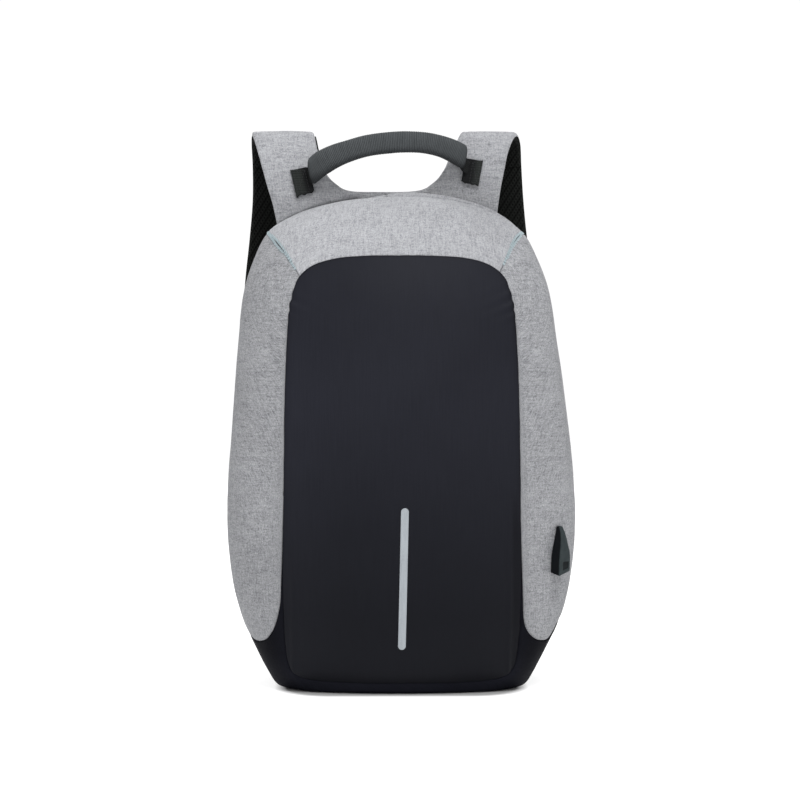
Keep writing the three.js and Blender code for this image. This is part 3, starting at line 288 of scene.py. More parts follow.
PIECES = {
    "base_cup": (lambda t: -tongue_left(t) + gap_at(-tongue_left(t), t), lambda t: tongue_right(t) - gap_at(tongue_right(t), t)),
    "side_band_right": (lambda t: tongue_right(t) + gap_at(tongue_right(t), t), lambda t: dart_right(t) - gap_at(dart_right(t), t)),
    "top_band": (lambda t: dart_right(t) + gap_at(dart_right(t), t), lambda t: dart_left(t) - gap_at(dart_left(t), t)),
    "side_band_left": (lambda t: dart_left(t) + gap_at(dart_left(t), t), lambda t: COUNT - tongue_left(t) - gap_at(COUNT - tongue_left(t), t)),
}


def back_edge(station, y, inset):
    u, e = (np.asarray(station, float) % COUNT) / COUNT, 0.02 / COUNT
    p, d = RING_B(u), RING_B(u + e) - RING_B(u - e)
    n = unit(np.stack([-d[..., 2], 0 * d[..., 0], d[..., 0]], -1))
    q = p.copy()
    q[..., 1] = y
    q[..., 2] = np.maximum(q[..., 2], 0)
    return q + n * np.asarray(inset, float)[..., None]


# ------------------------------------------------------------------ noise
def _hash(x, y, z, seed):
    h = (x * 374761393 + y * 668265263 + z * 1440670441 + seed * 974634777) & 0xFFFFFFFF
    h = ((h ^ (h >> 13)) * 1274126177) & 0xFFFFFFFF
    h ^= h >> 16
    return (h & 0xFFFFFF) / float(0xFFFFFF)


def noise(x, y, z=0.0, seed=0):
    """Smooth value noise in -1..1, one bump for each unit."""
    x, y, z = np.broadcast_arrays(np.asarray(x, float), np.asarray(y, float), np.asarray(z, float))
    ix, iy, iz = (np.floor(v).astype(np.int64) for v in (x, y, z))
    fx, fy, fz = x - ix, y - iy, z - iz
    fx, fy, fz = (f * f * f * (f * (f * 6 - 15) + 10) for f in (fx, fy, fz))
    total = 0
    for a in (0, 1):
        for b in (0, 1):
            for c in (0, 1):
                w = (fx if a else 1 - fx) * (fy if b else 1 - fy) * (fz if c else 1 - fz)
                total = total + w * _hash(ix + a, iy + b, iz + c, seed)
    return total * 2 - 1


def clouds(p, size, octaves=3, seed=0):
    total, amp = 0, 1.0
    for k in range(octaves):
        q = p / size * 2**k
        total = total + amp * noise(q[..., 0], q[..., 1], q[..., 2], seed + 7 * k)
        amp *= 0.5
    return total


# ------------------------------------------------------------------ meshes
MATERIALS = {}


def shade(obj, values):
    """Painted shade, with some soil and wear, of the cloth: 0 to 1 a point, which its material darkens by."""
    layer = obj.data.attributes.new("shade_and_soil", "FLOAT", "POINT")
    v = np.zeros(len(obj.data.vertices), np.float32)
    values = np.asarray(values, np.float32).reshape(-1)
    v[: len(values)] = values
    layer.data.foreach_set("value", np.clip(v, 0, 1))
    return obj


def to_object(name, points, groups, uv, material, smooth_shading=True):
    """Mesh from points (mm, bag frame), groups of equal-sized faces and one UV (mm) a point."""
    verts = np.asarray(points, float).reshape(-1, 3).copy()
    verts[:, 1] += Y_CENTRE
    verts /= 1000
    groups = [np.asarray(g, np.int64) for g in groups if len(g)]
    loops = np.concatenate([g.reshape(-1) for g in groups])
    totals = np.concatenate([np.full(len(g), g.shape[1]) for g in groups])
    starts = np.concatenate([[0], np.cumsum(totals)[:-1]])
    mesh = bpy.data.meshes.new(name)
    mesh.vertices.add(len(verts))
    mesh.vertices.foreach_set("co", verts.reshape(-1).astype(np.float32))
    mesh.loops.add(len(loops))
    mesh.loops.foreach_set("vertex_index", loops.astype(np.int32))
    mesh.polygons.add(len(totals))
    mesh.polygons.foreach_set("loop_start", starts.astype(np.int32))
    mesh.polygons.foreach_set("loop_total", totals.astype(np.int32))
    mesh.polygons.foreach_set("use_smooth", np.full(len(totals), smooth_shading, bool))
    mesh.update(calc_edges=True)
    if uv is not None:
        layer = mesh.uv_layers.new(name="UVMap")
        layer.data.foreach_set("uv", np.asarray(uv, float).reshape(-1, 2)[loops].reshape(-1).astype(np.float32))
    mesh.validate()
    obj = bpy.data.objects.new(name, mesh)
    scene.collection.objects.link(obj)
    if material:
        mesh.materials.append(MATERIALS[material] if isinstance(material, str) else material)
    return obj


def grid_faces(rows, cols, first=0, wrap=False, flip=False):
    i, j = np.meshgrid(np.arange(rows - 1), np.arange(cols if wrap else cols - 1), indexing="ij")
    a = first + i * cols + j
    b = first + i * cols + (j + 1) % cols
    q = np.stack([a, b, b + cols, a + cols], -1).reshape(-1, 4)
    return q[:, ::-1] if flip else q


def outward(points, faces, outer_count, way):
    """True if the first faces of the outer net look along way (N x 3 at the points)."""
    f = faces[: min(len(faces), 4000)]
    p = np.asarray(points).reshape(-1, 3)
    n = np.cross(p[f[:, 1]] - p[f[:, 0]], p[f[:, 3]] - p[f[:, 0]])
    return np.sum(n * np.asarray(way).reshape(-1, 3)[f[:, 0]]) > 0


def shell(name, outer, inner, uv, material, stride=4):
    """Thick cloth: a fine outer net, a coarse inner one and rims between them."""
    rows, cols = outer.shape[:2]
    assert (rows - 1) % stride == 0 and (cols - 1) % stride == 0, (name, rows, cols)
    inn = inner[::stride, ::stride]
    r2, c2 = inn.shape[:2]
    base = rows * cols
    points = np.concatenate([outer.reshape(-1, 3), inn.reshape(-1, 3)])
    uvs = np.concatenate([uv.reshape(-1, 2), uv[::stride, ::stride].reshape(-1, 2)])
    normal = outer - inner
    out_faces = grid_faces(rows, cols)
    flip = not outward(points, out_faces, base, normal)
    in_faces = grid_faces(r2, c2, base, flip=True)
    o = lambda i, j: i * cols + j
    n = lambda i, j: base + i * c2 + j
    rims = []
    for k in range(c2 - 1):
        rims.append([o(0, k * stride + m) for m in range(stride, -1, -1)] + [n(0, k), n(0, k + 1)])
        rims.append([o(rows - 1, k * stride + m) for m in range(stride + 1)] + [n(r2 - 1, k + 1), n(r2 - 1, k)])
    for k in range(r2 - 1):
        rims.append([o(k * stride + m, 0) for m in range(stride + 1)] + [n(k + 1, 0), n(k, 0)])
        rims.append([o(k * stride + m, cols - 1) for m in range(stride, -1, -1)] + [n(k, c2 - 1), n(k + 1, c2 - 1)])
    rims = np.array(rims)
    groups = [out_faces, in_faces, rims]
    if flip:
        groups = [g[:, ::-1] for g in groups]
    return to_object(name, points, groups, uvs, material)


def graded(length, spacing, edge=(0.22, 0.3, 0.4, 0.55, 0.75, 0.95), stride=4, ends=(True, True)):
    """Positions 0..1 along a length, closer together at its ends; count fits the stride."""
    a = np.cumsum(edge) if ends[0] else np.zeros(0)
    b = np.cumsum(edge)[::-1] if ends[1] else np.zeros(0)
    start, stop = (a[-1] if len(a) else 0), length - (b[0] if len(b) else 0)
    n = max(int(round((stop - start) / spacing)), 2)
    while (len(a) + len(b) + n + (0 if len(a) or len(b) else 0)) % stride:
        n += 1
    mid = np.linspace(start, stop, n + 1)
    s = np.concatenate([[0] if len(a) else [], a[:-1], mid, length - b[1:], [length] if len(b) else []])
    return s / length


def arc_lengths(p, axis):
    d = np.linalg.norm(np.diff(p, axis=axis), axis=-1)
    return np.concatenate([np.zeros_like(np.take(d, [0], axis)), np.cumsum(d, axis)], axis)


def line_distance(points, line, limit=None):
    """Distance from each point to a polyline, and how far along the polyline that is."""
    pts = points.reshape(-1, points.shape[-1])
    best = np.empty(len(pts), int)
    for a in range(0, len(pts), 6000):
        part = pts[a : a + 6000]
        d = (part**2).sum(1)[:, None] + (line**2).sum(1)[None] - 2 * part @ line.T
        best[a : a + 6000] = d.argmin(1)
    s = np.concatenate([[0], np.cumsum(np.linalg.norm(np.diff(line, axis=0), axis=1))])
    dist, along = np.full(len(pts), 1e9), np.zeros(len(pts))
    for k in (-1, 0):
        i = np.clip(best + k, 0, len(line) - 2)
        a, d = line[i], line[i + 1] - line[i]
        w = np.clip(((pts - a) * d).sum(1) / np.maximum((d * d).sum(1), 1e-12), 0, 1)
        r = np.linalg.norm(a + d * w[:, None] - pts, axis=1)
        near = r < dist
        dist = np.where(near, r, dist)
        along = np.where(near, s[i] + w * (s[i + 1] - s[i]), along)
    return dist.reshape(points.shape[:-1]), along.reshape(points.shape[:-1])


def quarter(d, r):
    """How far a rounded edge of radius 1 has dropped at distance d from it."""
    q = np.clip(d / r, 0, 1)
    return 1 - np.sqrt(np.maximum(1 - (1 - q) ** 2, 0))


def puckers(along, d, pitch, reach, seed):
    """Small gathers that a seam leaves in the cloth beside it."""
    a = noise(along / pitch, 0.35 * d / pitch, seed=seed)
    b = noise(along / (pitch * 2.7), 0.2 * d / pitch, seed=seed + 5)
    return (0.6 * a + 0.7 * b) * np.exp(-d / reach)


def sweep(name, centre, w, n, a, b, power, around, material, caps=True, shift=None, wrap_uv=None):
    """Tube of superellipse sections; shift moves its skin out by an (rows x around) net."""
    rows = len(centre)
    ang = (np.arange(around) + 0.5) / around * 2 * np.pi
    cc, ss = (np.sign(f) * np.abs(f) ** power for f in (np.cos(ang), np.sin(ang)))
    a, b = np.broadcast_to(a, rows).astype(float), np.broadcast_to(b, rows).astype(float)
    p = centre[:, None] + w[:, None] * (cc[None] * a[:, None])[..., None] + n[:, None] * (ss[None] * b[:, None])[..., None]
    if shift is not None:
        d = unit(p - centre[:, None])
        p = p + d * shift[..., None]
    s = np.concatenate([[0], np.cumsum(np.linalg.norm(np.diff(centre, axis=0), axis=1))])
    if wrap_uv == "flat":  # across the ribbon, the same on both faces
        v = np.broadcast_to((cc[None] * a[:, None]), (rows, around))
    else:
        loop = np.linalg.norm(np.roll(p, -1, 1) - p, axis=-1)
        v = np.concatenate([np.zeros((rows, 1)), np.cumsum(loop, 1)[:, :-1]], 1)
    uv = np.stack([np.broadcast_to(s[:, None], (rows, around)), v], -1)
    faces = [grid_faces(rows, around, wrap=True)]
    points, uvs = p.reshape(-1, 3), uv.reshape(-1, 2)
    if caps:
        m = len(points)
        points = np.concatenate([points, p[0].mean(0)[None], p[-1].mean(0)[None]])
        uvs = np.concatenate([uvs, uv[0].mean(0)[None], uv[-1].mean(0)[None]])
        j = np.arange(around)
        faces.append(np.stack([j, np.full(around, m), (j + 1) % around], -1))
        j2 = (rows - 1) * around + j
        faces.append(np.stack([j2, (rows - 1) * around + (j + 1) % around, np.full(around, m + 1)], -1))
    f = faces[0][:2000]
    nrm = np.cross(points[f[:, 1]] - points[f[:, 0]], points[f[:, 3]] - points[f[:, 0]])
    if np.sum(nrm * (points[f[:, 0]] - centre[f[:, 0] // around])) < 0:
        faces = [g[:, ::-1] for g in faces]
    return to_object(name, points, faces, uvs, material)


def joined(name, objects):
    """One object of several meshes with the same material."""
    bpy.ops.object.select_all(action="DESELECT")
    for o in objects:
        o.select_set(True)
    bpy.context.view_layer.objects.active = objects[0]
    if len(objects) > 1:
        bpy.ops.object.join()
    o = bpy.context.view_layer.objects.active
    o.name = o.data.name = name
    return o


def stitches(name, line, normal, material, length=2.6, gap=1.1, radius=0.3, sink=0.1, twist=0.0):
    """Row of short thread capsules along a line on a surface."""
    s = np.concatenate([[0], np.cumsum(np.linalg.norm(np.diff(line, axis=0), axis=1))])
    count = max(int(s[-1] / (length + gap)), 1)
    pitch = s[-1] / count
    at = (np.arange(count) + 0.5) * pitch
    pos = lambda v: np.stack([np.interp(v, s, line[:, k]) for k in range(3)], -1)
    nrm = unit(np.stack([np.interp(at, s, normal[:, k]) for k in range(3)], -1))
    c = pos(at)
    t = unit(pos(at + 0.3) - pos(at - 0.3))
    side = unit(np.cross(nrm, t))
    t = unit(t * math.cos(twist) + side * math.sin(twist))
    side = unit(np.cross(nrm, t))
    half = (pitch - gap) / 2
    rows, around = 5, 6
    f = np.array([-1, -0.8, 0, 0.8, 1])
    ang = np.arange(around) / around * 2 * np.pi
    fat = np.sqrt(np.maximum(1 - f**4, 0.02)) * radius
    lift = (radius * 0.9 - sink) - 0.5 * radius * f**2 * 1.6
    base = c[:, None, None] + t[:, None, None] * (f * half)[None, :, None, None] + nrm[:, None, None] * lift[None, :, None, None]
    p = base + side[:, None, None] * (fat[:, None] * np.cos(ang))[None, ..., None] + nrm[:, None, None] * (fat[:, None] * np.sin(ang))[None, ..., None]
    one = grid_faces(rows, around, wrap=True)
    ends = [[k for k in range(around)][::-1], [(rows - 1) * around + k for k in range(around)]]
    block = rows * around
    off = (np.arange(count) * block)[:, None, None]
    quads = (one[None] + off).reshape(-1, 4)
    caps = (np.array(ends)[None] + off).reshape(-1, around)
    uv = np.zeros((count, rows, around, 2))
    uv[..., 0] = at[:, None, None] + (f * half)[None, :, None]
    uv[..., 1] = (np.arange(around) / around)[None, None]
    return to_object(name, p, [quads, caps], uv, material)


# ------------------------------------------------------------------ materials
class Nodes:
    """Short notation for a material's node tree."""

    def __init__(self, name):
        self.mat = bpy.data.materials.new(name)
        self.mat.use_nodes = True
        self.tree = self.mat.node_tree
        self.tree.nodes.clear()
        self.out = self.tree.nodes.new("ShaderNodeOutputMaterial")
        self.bsdf = self.tree.nodes.new("ShaderNodeBsdfPrincipled")
        self.tree.links.new(self.bsdf.outputs[0], self.out.inputs[0])
        MATERIALS[name] = self.mat

    def new(self, kind, **props):
        node = self.tree.nodes.new(kind)
        for k, v in props.items():
            setattr(node, k, v)
        return node

    def put(self, socket, value):
        if isinstance(value, bpy.types.NodeSocket):
            self.tree.links.new(value, socket)
        else:
            socket.default_value = value

    def math(self, op, a, b=0.0, c=None, clamp=False):
        node = self.new("ShaderNodeMath", operation=op, use_clamp=clamp)
        self.put(node.inputs[0], a)
        self.put(node.inputs[1], b)
        if c is not None:
            self.put(node.inputs[2], c)
        return node.outputs[0]

    def uv(self):
        node = self.new("ShaderNodeUVMap", uv_map="UVMap")
        sep = self.new("ShaderNodeSeparateXYZ")
        self.tree.links.new(node.outputs[0], sep.inputs[0])
        return sep.outputs[0], sep.outputs[1]

    def darken_by_shade_and_soil(self, colour, most=0.8):
        # darkens the colour by the point attribute: mostly painted shade, with some soil
        node = self.new("ShaderNodeAttribute", attribute_name="shade_and_soil")
        return self.mix(self.math("MULTIPLY", node.outputs["Fac"], most), colour, (0.002, 0.002, 0.003, 1))

    def place(self):
        node = self.new("ShaderNodeTexCoord")
        sep = self.new("ShaderNodeSeparateXYZ")
        self.tree.links.new(node.outputs["Object"], sep.inputs[0])
        return sep.outputs[0], sep.outputs[1], sep.outputs[2]

    def vec(self, x, y, z=0.0):
        node = self.new("ShaderNodeCombineXYZ")
        for s, v in zip(node.inputs, (x, y, z)):
            self.put(s, v)
        return node.outputs[0]

    def noise(self, x, y, z=0.0, detail=2.0, rough=0.5):
        node = self.new("ShaderNodeTexNoise")
        node.inputs["Scale"].default_value = 1.0
        node.inputs["Detail"].default_value = detail
        node.inputs["Roughness"].default_value = rough
        self.put(node.inputs["Vector"], self.vec(x, y, z))
        return node.outputs[0]

    def ramp(self, value, *stops):
        node = self.new("ShaderNodeValToRGB")
        ramp = node.color_ramp
        while len(ramp.elements) < len(stops):
            ramp.elements.new(0.5)
        for e, (pos, col) in zip(ramp.elements, stops):
            e.position = pos
            e.color = (*col, 1) if len(col) == 3 else col
        self.put(node.inputs[0], value)
        return node.outputs[0]

    def remap(self, value, a, b, c=0.0, d=1.0):
        node = self.new("ShaderNodeMapRange")
        for s, v in zip(node.inputs, (value, a, b, c, d)):
            self.put(s, v)
        return node.outputs[0]

    def mix(self, fac, a, b, kind="MIX"):
        node = self.new("ShaderNodeMix", data_type="RGBA", blend_type=kind)
        self.put(node.inputs["Factor"], fac)
        self.put(node.inputs[6], a)
        self.put(node.inputs[7], b)
        return node.outputs[2]

    def bump(self, height, distance, strength=1.0, normal=None):
        node = self.new("ShaderNodeBump")
        self.put(node.inputs["Height"], height)
        node.inputs["Distance"].default_value = distance
        node.inputs["Strength"].default_value = strength
        if normal is not None:
            self.put(node.inputs["Normal"], normal)
        return node.outputs[0]

    def set(self, **values):
        for k, v in values.items():
            self.put(self.bsdf.inputs[k.replace("_", " ")], v)
        return self.mat


def col(*rgb):
    """sRGB 0..255 to linear."""
    out = []
    for v in rgb:
        v /= 255
        out.append(v / 12.92 if v <= 0.04045 else ((v + 0.055) / 1.055) ** 2.4)
    return (*out, 1.0)


def grey_cloth(name, tint=1.0, along=0.5, contrast=1.0, lateral=0.0):
    """Melange weave: light threads with darker ones among them, uneven along the yarn.
    along > 0.5 shows the upright threads more."""
    m = Nodes(name)
    u, v = m.uv()
    up = m.noise(m.math("MULTIPLY", u, 1.25), m.math("MULTIPLY", v, 0.17), 3.1, 2.0, 0.6)
    across = m.noise(m.math("MULTIPLY", u, 0.17), m.math("MULTIPLY", v, 1.25), 7.7, 2.0, 0.6)
    upc = m.noise(m.math("MULTIPLY", u, 0.45), m.math("MULTIPLY", v, 0.07), 1.1, 1.0)
    acc = m.noise(m.math("MULTIPLY", u, 0.07), m.math("MULTIPLY", v, 0.45), 5.3, 1.0)
    fine = m.noise(m.math("MULTIPLY", u, 0.75), m.math("MULTIPLY", v, 0.62), 9.9, 3.0, 0.75)
    # plain weave: which thread is on top
    su = m.math("SINE", m.math("MULTIPLY", u, 2 * math.pi / 1.05))
    sv = m.math("SINE", m.math("MULTIPLY", v, 2 * math.pi / 1.05))
    over = m.remap(m.math("MULTIPLY", su, sv), -0.35, 0.35)
    thread = m.math("ADD", m.math("MULTIPLY", up, over), m.math("MULTIPLY", across, m.math("SUBTRACT", 1.0, over)))
    coarse = m.math("ADD", m.math("MULTIPLY", upc, along), m.math("MULTIPLY", acc, 1 - along))
    tone = m.math("ADD", m.math("MULTIPLY", thread, 0.42), m.math("ADD", m.math("MULTIPLY", fine, 0.38), m.math("MULTIPLY", coarse, 0.2)))
    mean = col(166, 167, 171)[:3]
    g = lambda *c: tuple(max(k + (x - k) * contrast, 0.02) * tint * cool for x, k, cool in zip(col(*c)[:3], mean, (1, 1, 1.008)))
    base = m.ramp(tone, (0.3, g(92, 93, 98)), (0.42, g(138, 139, 143)), (0.5, g(167, 168, 171)), (0.6, g(186, 187, 190)), (0.74, g(207, 208, 210)))
    slub = m.remap(m.noise(m.math("MULTIPLY", u, 0.9), m.math("MULTIPLY", v, 0.8), 21.0, 4.0, 0.8), 0.62, 0.76)
    base = m.mix(m.math("MULTIPLY", slub, 0.5), base, (*g(112, 113, 119), 1))
    # salt and pepper of the single picks
    pick = m.new("ShaderNodeTexWhiteNoise", noise_dimensions="2D")
    m.put(pick.inputs["Vector"], m.vec(m.math("FLOOR", m.math("MULTIPLY", u, 1 / 0.62)), m.math("FLOOR", m.math("MULTIPLY", v, 1 / 0.62))))
    dots = m.remap(pick.outputs["Value"], 0.0, 1.0, 1 - 0.13 * contrast, 1 + 0.13 * contrast)
    base = m.mix(1.0, base, m.vec(dots, dots, dots), "MULTIPLY")
    x, y, z = m.place()
    broad = m.remap(m.noise(m.math("MULTIPLY", x, 22), m.math("MULTIPLY", y, 22), m.math("MULTIPLY", z, 22), 2.0), 0.3, 0.7, 0.94, 1.05)
    base = m.mix(1.0, base, m.vec(broad, broad, broad), "MULTIPLY")
    if lateral:  # the cloth is a shade darker towards one side
        side_tone = m.remap(x, -0.075, 0.075, 1 + lateral, 1 - lateral)
        base = m.mix(1.0, base, m.vec(side_tone, side_tone, side_tone), "MULTIPLY")
    threads = m.math("ADD", m.math("MULTIPLY", m.math("ABSOLUTE", su), 0.5), m.math("MULTIPLY", m.math("ABSOLUTE", sv), 0.5))
    height = m.math("ADD", m.math("MULTIPLY", threads, 0.5), m.math("ADD", m.math("MULTIPLY", thread, 0.8), m.math("MULTIPLY", fine, 0.5)))
    return m.set(Base_Color=m.darken_by_shade_and_soil(base, 0.75), Roughness=0.92, Specular_IOR_Level=0.15, Sheen_Weight=0.05, Sheen_Roughness=0.5,
                 Normal=m.bump(height, 0.00036, 0.9))


def black_cloth(name, low, high, rough=0.62, top_light=0.0, shine=0.1, floor_bounce=0.0):
    """Close smooth weave with a slight satin face, lighter towards the top by painted light."""
    m = Nodes(name)
    u, v = m.uv()
    su = m.math("SINE", m.math("MULTIPLY", u, 2 * math.pi / 0.62))
    sv = m.math("SINE", m.math("MULTIPLY", v, 2 * math.pi / 0.62))
    weave = m.math("MULTIPLY", su, sv)
    fine = m.noise(m.math("MULTIPLY", u, 1.3), m.math("MULTIPLY", v, 0.9), 4.0, 2.0, 0.6)
    thread = m.noise(m.math("MULTIPLY", u, 0.9), m.math("MULTIPLY", v, 0.03), 2.0, 2.0)
    broad = m.noise(m.math("MULTIPLY", u, 0.012), m.math("MULTIPLY", v, 0.012), 6.0, 3.0)
    tone = m.math("ADD", m.math("MULTIPLY", thread, 0.35), m.math("ADD", m.math("MULTIPLY", fine, 0.25), m.math("MULTIPLY", broad, 0.4)))
    base = m.ramp(tone, (0.36, low), (0.64, high))
    if top_light:
        x, y, z = m.place()
        # painted light: lighter towards the top and at the left edge, a shade darker again at the very top
        up = m.math("MULTIPLY", m.remap(z, 0.07, 0.24, 1.0, 1.0 + top_light), m.remap(x, -0.1, -0.045, 1.25, 1.0))
        up = m.math("MULTIPLY", up, m.remap(z, 0.27, 0.36, 1.0, 0.88))
        base = m.mix(1.0, base, m.vec(up, up, up), "MULTIPLY")
    if floor_bounce:  # painted bounce light from the floor: lighter towards the bottom
        x, y, z = m.place()
        bounce_lit = m.remap(z, 0.0, 0.034, 1.0 + floor_bounce, 1.0)
        base = m.mix(1.0, base, m.vec(bounce_lit, bounce_lit, bounce_lit), "MULTIPLY")
    height = m.math("ADD", m.math("MULTIPLY", weave, 0.35), fine)
    r = m.remap(broad, 0.3, 0.7, rough - 0.05, rough + 0.06)
    return m.set(Base_Color=m.darken_by_shade_and_soil(base, 0.9), Roughness=r, Specular_IOR_Level=shine, Specular_Tint=(0.9, 0.92, 1.0, 1.0),
                 Normal=m.bump(height, 0.00012, 0.5))


def spacer_mesh(name, low=(0.0022, 0.0024, 0.0024), high=(0.016, 0.017, 0.0175)):
    """Knitted spacer mesh: rows of small holes between diagonal ribs."""
    m = Nodes(name)
    u, v = m.uv()
    a = m.math("MULTIPLY", m.math("ADD", u, m.math("MULTIPLY", v, 0.62)), 2 * math.pi / 3.1)
    b = m.math("MULTIPLY", m.math("SUBTRACT", u, m.math("MULTIPLY", v, 0.62)), 2 * math.pi / 3.1)
    ca, cb = m.math("COSINE", a), m.math("COSINE", b)
    holes = m.math("MULTIPLY", m.math("ADD", ca, 1.0), m.math("ADD", cb, 1.0))
    hole = m.remap(holes, 1.15, 2.3)
    fuzz = m.noise(m.math("MULTIPLY", u, 2.2), m.math("MULTIPLY", v, 2.2), 0.0, 2.0)
    rib = m.remap(m.math("COSINE", m.math("MULTIPLY", a, 0.5)), -1, 1, 0.35, 1.1)
    base = m.ramp(m.math("MULTIPLY", m.math("MULTIPLY", m.math("SUBTRACT", 1.0, hole), m.remap(fuzz, 0.3, 0.7, 0.7, 1.0)), rib),
                  (0.0, low), (1.0, high))
    height = m.math("ADD", m.math("MULTIPLY", m.math("SUBTRACT", 1.0, hole), 1.0), m.math("MULTIPLY", fuzz, 0.15))
    return m.set(Base_Color=m.darken_by_shade_and_soil(base, 0.85), Roughness=0.9, Specular_IOR_Level=0.08, Normal=m.bump(height, 0.0006, 0.9))


def webbing(name, low, high, rib=1.5, axis=0, twill=0.0):
    """Ribbed webbing: cords across (axis 0) with fine threads over them."""
    m = Nodes(name)
    u, v = m.uv()
    s, w = (u, v) if axis == 0 else (v, u)
    s2 = m.math("ADD", s, m.math("MULTIPLY", w, twill)) if twill else s
    wave = m.math("SINE", m.math("MULTIPLY", s2, 2 * math.pi / rib))
    cross = m.math("SINE", m.math("MULTIPLY", w, 2 * math.pi / 0.8))
    each = m.noise(m.math("MULTIPLY", s, 1 / rib), m.math("MULTIPLY", w, 0.06), 2.0, 2.0)
    fuzz = m.noise(m.math("MULTIPLY", s, 1.8), m.math("MULTIPLY", w, 1.4), 5.0, 3.0, 0.7)
    tone = m.math("ADD", m.remap(wave, -1, 1, 0.0, 0.4), m.math("ADD", m.math("MULTIPLY", each, 0.35), m.math("MULTIPLY", fuzz, 0.3)))
    base = m.ramp(tone, (0.2, low), (0.8, high))
    height = m.math("ADD", m.math("MULTIPLY", wave, 0.5), m.math("ADD", m.math("MULTIPLY", cross, 0.18), m.math("MULTIPLY", fuzz, 0.35)))
    return m.set(Base_Color=m.darken_by_shade_and_soil(base, 0.9), Roughness=0.8, Specular_IOR_Level=0.18, Sheen_Weight=0.02, Normal=m.bump(height, 0.0003, 0.8))


def make_materials():
    grey_cloth("grey_top", 0.97, 0.78, 0.9, 0.07)
    # the sides' copy of the grey cloth is darker: painted shade where the sides turn from the light
    grey_cloth("grey_side_shaded", 0.75, 0.55, 1.2)
    grey_cloth("grey_harness", 0.92, 0.35, 1.0, 0.02)
    black_cloth("panel_cloth", (0.0045, 0.0047, 0.0067), (0.0060, 0.0063, 0.0088), 0.52, 1.3, 0.095)
    black_cloth("base_cloth", (0.0044, 0.0046, 0.0069), (0.0077, 0.0080, 0.0114), 0.68, 0.0, 0.03, 0.85)
    spacer_mesh("strap_mesh", (0.0004, 0.0005, 0.0004), (0.0125, 0.0135, 0.0125))
    spacer_mesh("back_mesh", (0.003, 0.0031, 0.0033), (0.046, 0.047, 0.049))
    webbing("grip_webbing", (0.028, 0.032, 0.034), (0.083, 0.09, 0.095), 1.5)
    webbing("tab_webbing", (0.0085, 0.0100, 0.0092), (0.0255, 0.029, 0.0275), 1.6, 1, 0.25)
    webbing("strap_webbing", (0.008, 0.0085, 0.009), (0.026, 0.027, 0.029), 1.7, 1, 0.5)
    webbing("zip_tape", (0.006, 0.0062, 0.007), (0.016, 0.0165, 0.018), 0.9, 1, 0.6)

    m = Nodes("thread_pale")  # dart seam's pale blue-grey thread
    u, v = m.uv()
    ply = m.math("SINE", m.math("ADD", m.math("MULTIPLY", u, 9.0), m.math("MULTIPLY", v, 6.28)))
    m.set(Base_Color=m.ramp(m.remap(ply, -1, 1), (0.0, col(138, 152, 158)[:3]), (1.0, col(184, 197, 201)[:3])), Roughness=0.6,
          Specular_IOR_Level=0.3, Normal=m.bump(ply, 0.00008, 0.7))
    m = Nodes("thread_grey")
    u, v = m.uv()
    ply = m.math("SINE", m.math("ADD", m.math("MULTIPLY", u, 9.0), m.math("MULTIPLY", v, 6.28)))
    m.set(Base_Color=m.ramp(m.remap(ply, -1, 1), (0.0, col(128, 130, 135)[:3]), (1.0, col(176, 178, 182)[:3])), Roughness=0.7,
          Specular_IOR_Level=0.25, Normal=m.bump(ply, 0.00008, 0.7))
    m = Nodes("thread_black")
    u, v = m.uv()
    ply = m.math("SINE", m.math("ADD", m.math("MULTIPLY", u, 9.0), m.math("MULTIPLY", v, 6.28)))
    m.set(Base_Color=m.ramp(m.remap(ply, -1, 1), (0.0, (0.008, 0.0085, 0.009)), (1.0, (0.03, 0.031, 0.033))), Roughness=0.55,
          Specular_IOR_Level=0.35, Normal=m.bump(ply, 0.00008, 0.7))

    m = Nodes("reflective_tape")  # glass-bead tape, slightly worn along the middle
    u, v = m.uv()
    bead = m.new("ShaderNodeTexVoronoi")
    bead.inputs["Scale"].default_value = 1.0
    m.put(bead.inputs["Vector"], m.vec(m.math("MULTIPLY", u, 3.2), m.math("MULTIPLY", v, 3.2)))
    wear = m.noise(m.math("MULTIPLY", u, 0.35), m.math("MULTIPLY", v, 0.05), 1.0, 3.0)
    base = m.ramp(m.math("ADD", m.math("MULTIPLY", bead.outputs["Distance"], 0.35), m.math("MULTIPLY", wear, 0.65)),
                  (0.25, col(138, 143, 149)[:3]), (0.62, col(160, 166, 171)[:3]))
    m.set(Base_Color=base, Roughness=m.remap(wear, 0.3, 0.7, 0.42, 0.54), Metallic=0.15, Specular_IOR_Level=0.3,
          Normal=m.bump(bead.outputs["Distance"], 0.00004, 0.6))

    m = Nodes("hood_rubber")  # matt moulded rubber, fine spark-eroded grain
    u, v = m.uv()
    grain = m.noise(m.math("MULTIPLY", u, 3.5), m.math("MULTIPLY", v, 3.5), 2.0, 3.0, 0.7)
    smear = m.noise(m.math("MULTIPLY", u, 0.16), m.math("MULTIPLY", v, 0.16), 4.0, 2.0)
    base = m.ramp(smear, (0.35, (0.025, 0.0325, 0.0345)), (0.65, (0.033, 0.042, 0.044)))
    m.set(Base_Color=m.darken_by_shade_and_soil(base, 0.97), Roughness=m.remap(grain, 0.3, 0.7, 0.5, 0.66), Specular_IOR_Level=0.06, Normal=m.bump(grain, 0.00006, 0.6))

    m = Nodes("buckle_plastic")
    x, y, z = m.place()
    grain = m.noise(m.math("MULTIPLY", x, 2600), m.math("MULTIPLY", y, 2600), m.math("MULTIPLY", z, 2600), 2.0, 0.6)
    smear = m.noise(m.math("MULTIPLY", x, 90), m.math("MULTIPLY", y, 90), m.math("MULTIPLY", z, 90), 2.0)
    m.set(Base_Color=m.ramp(smear, (0.35, (0.008, 0.008, 0.009)), (0.65, (0.014, 0.014, 0.0155))), Roughness=m.remap(smear, 0.3, 0.7, 0.36, 0.46),
          Specular_IOR_Level=0.4, Normal=m.bump(grain, 0.00004, 0.5))

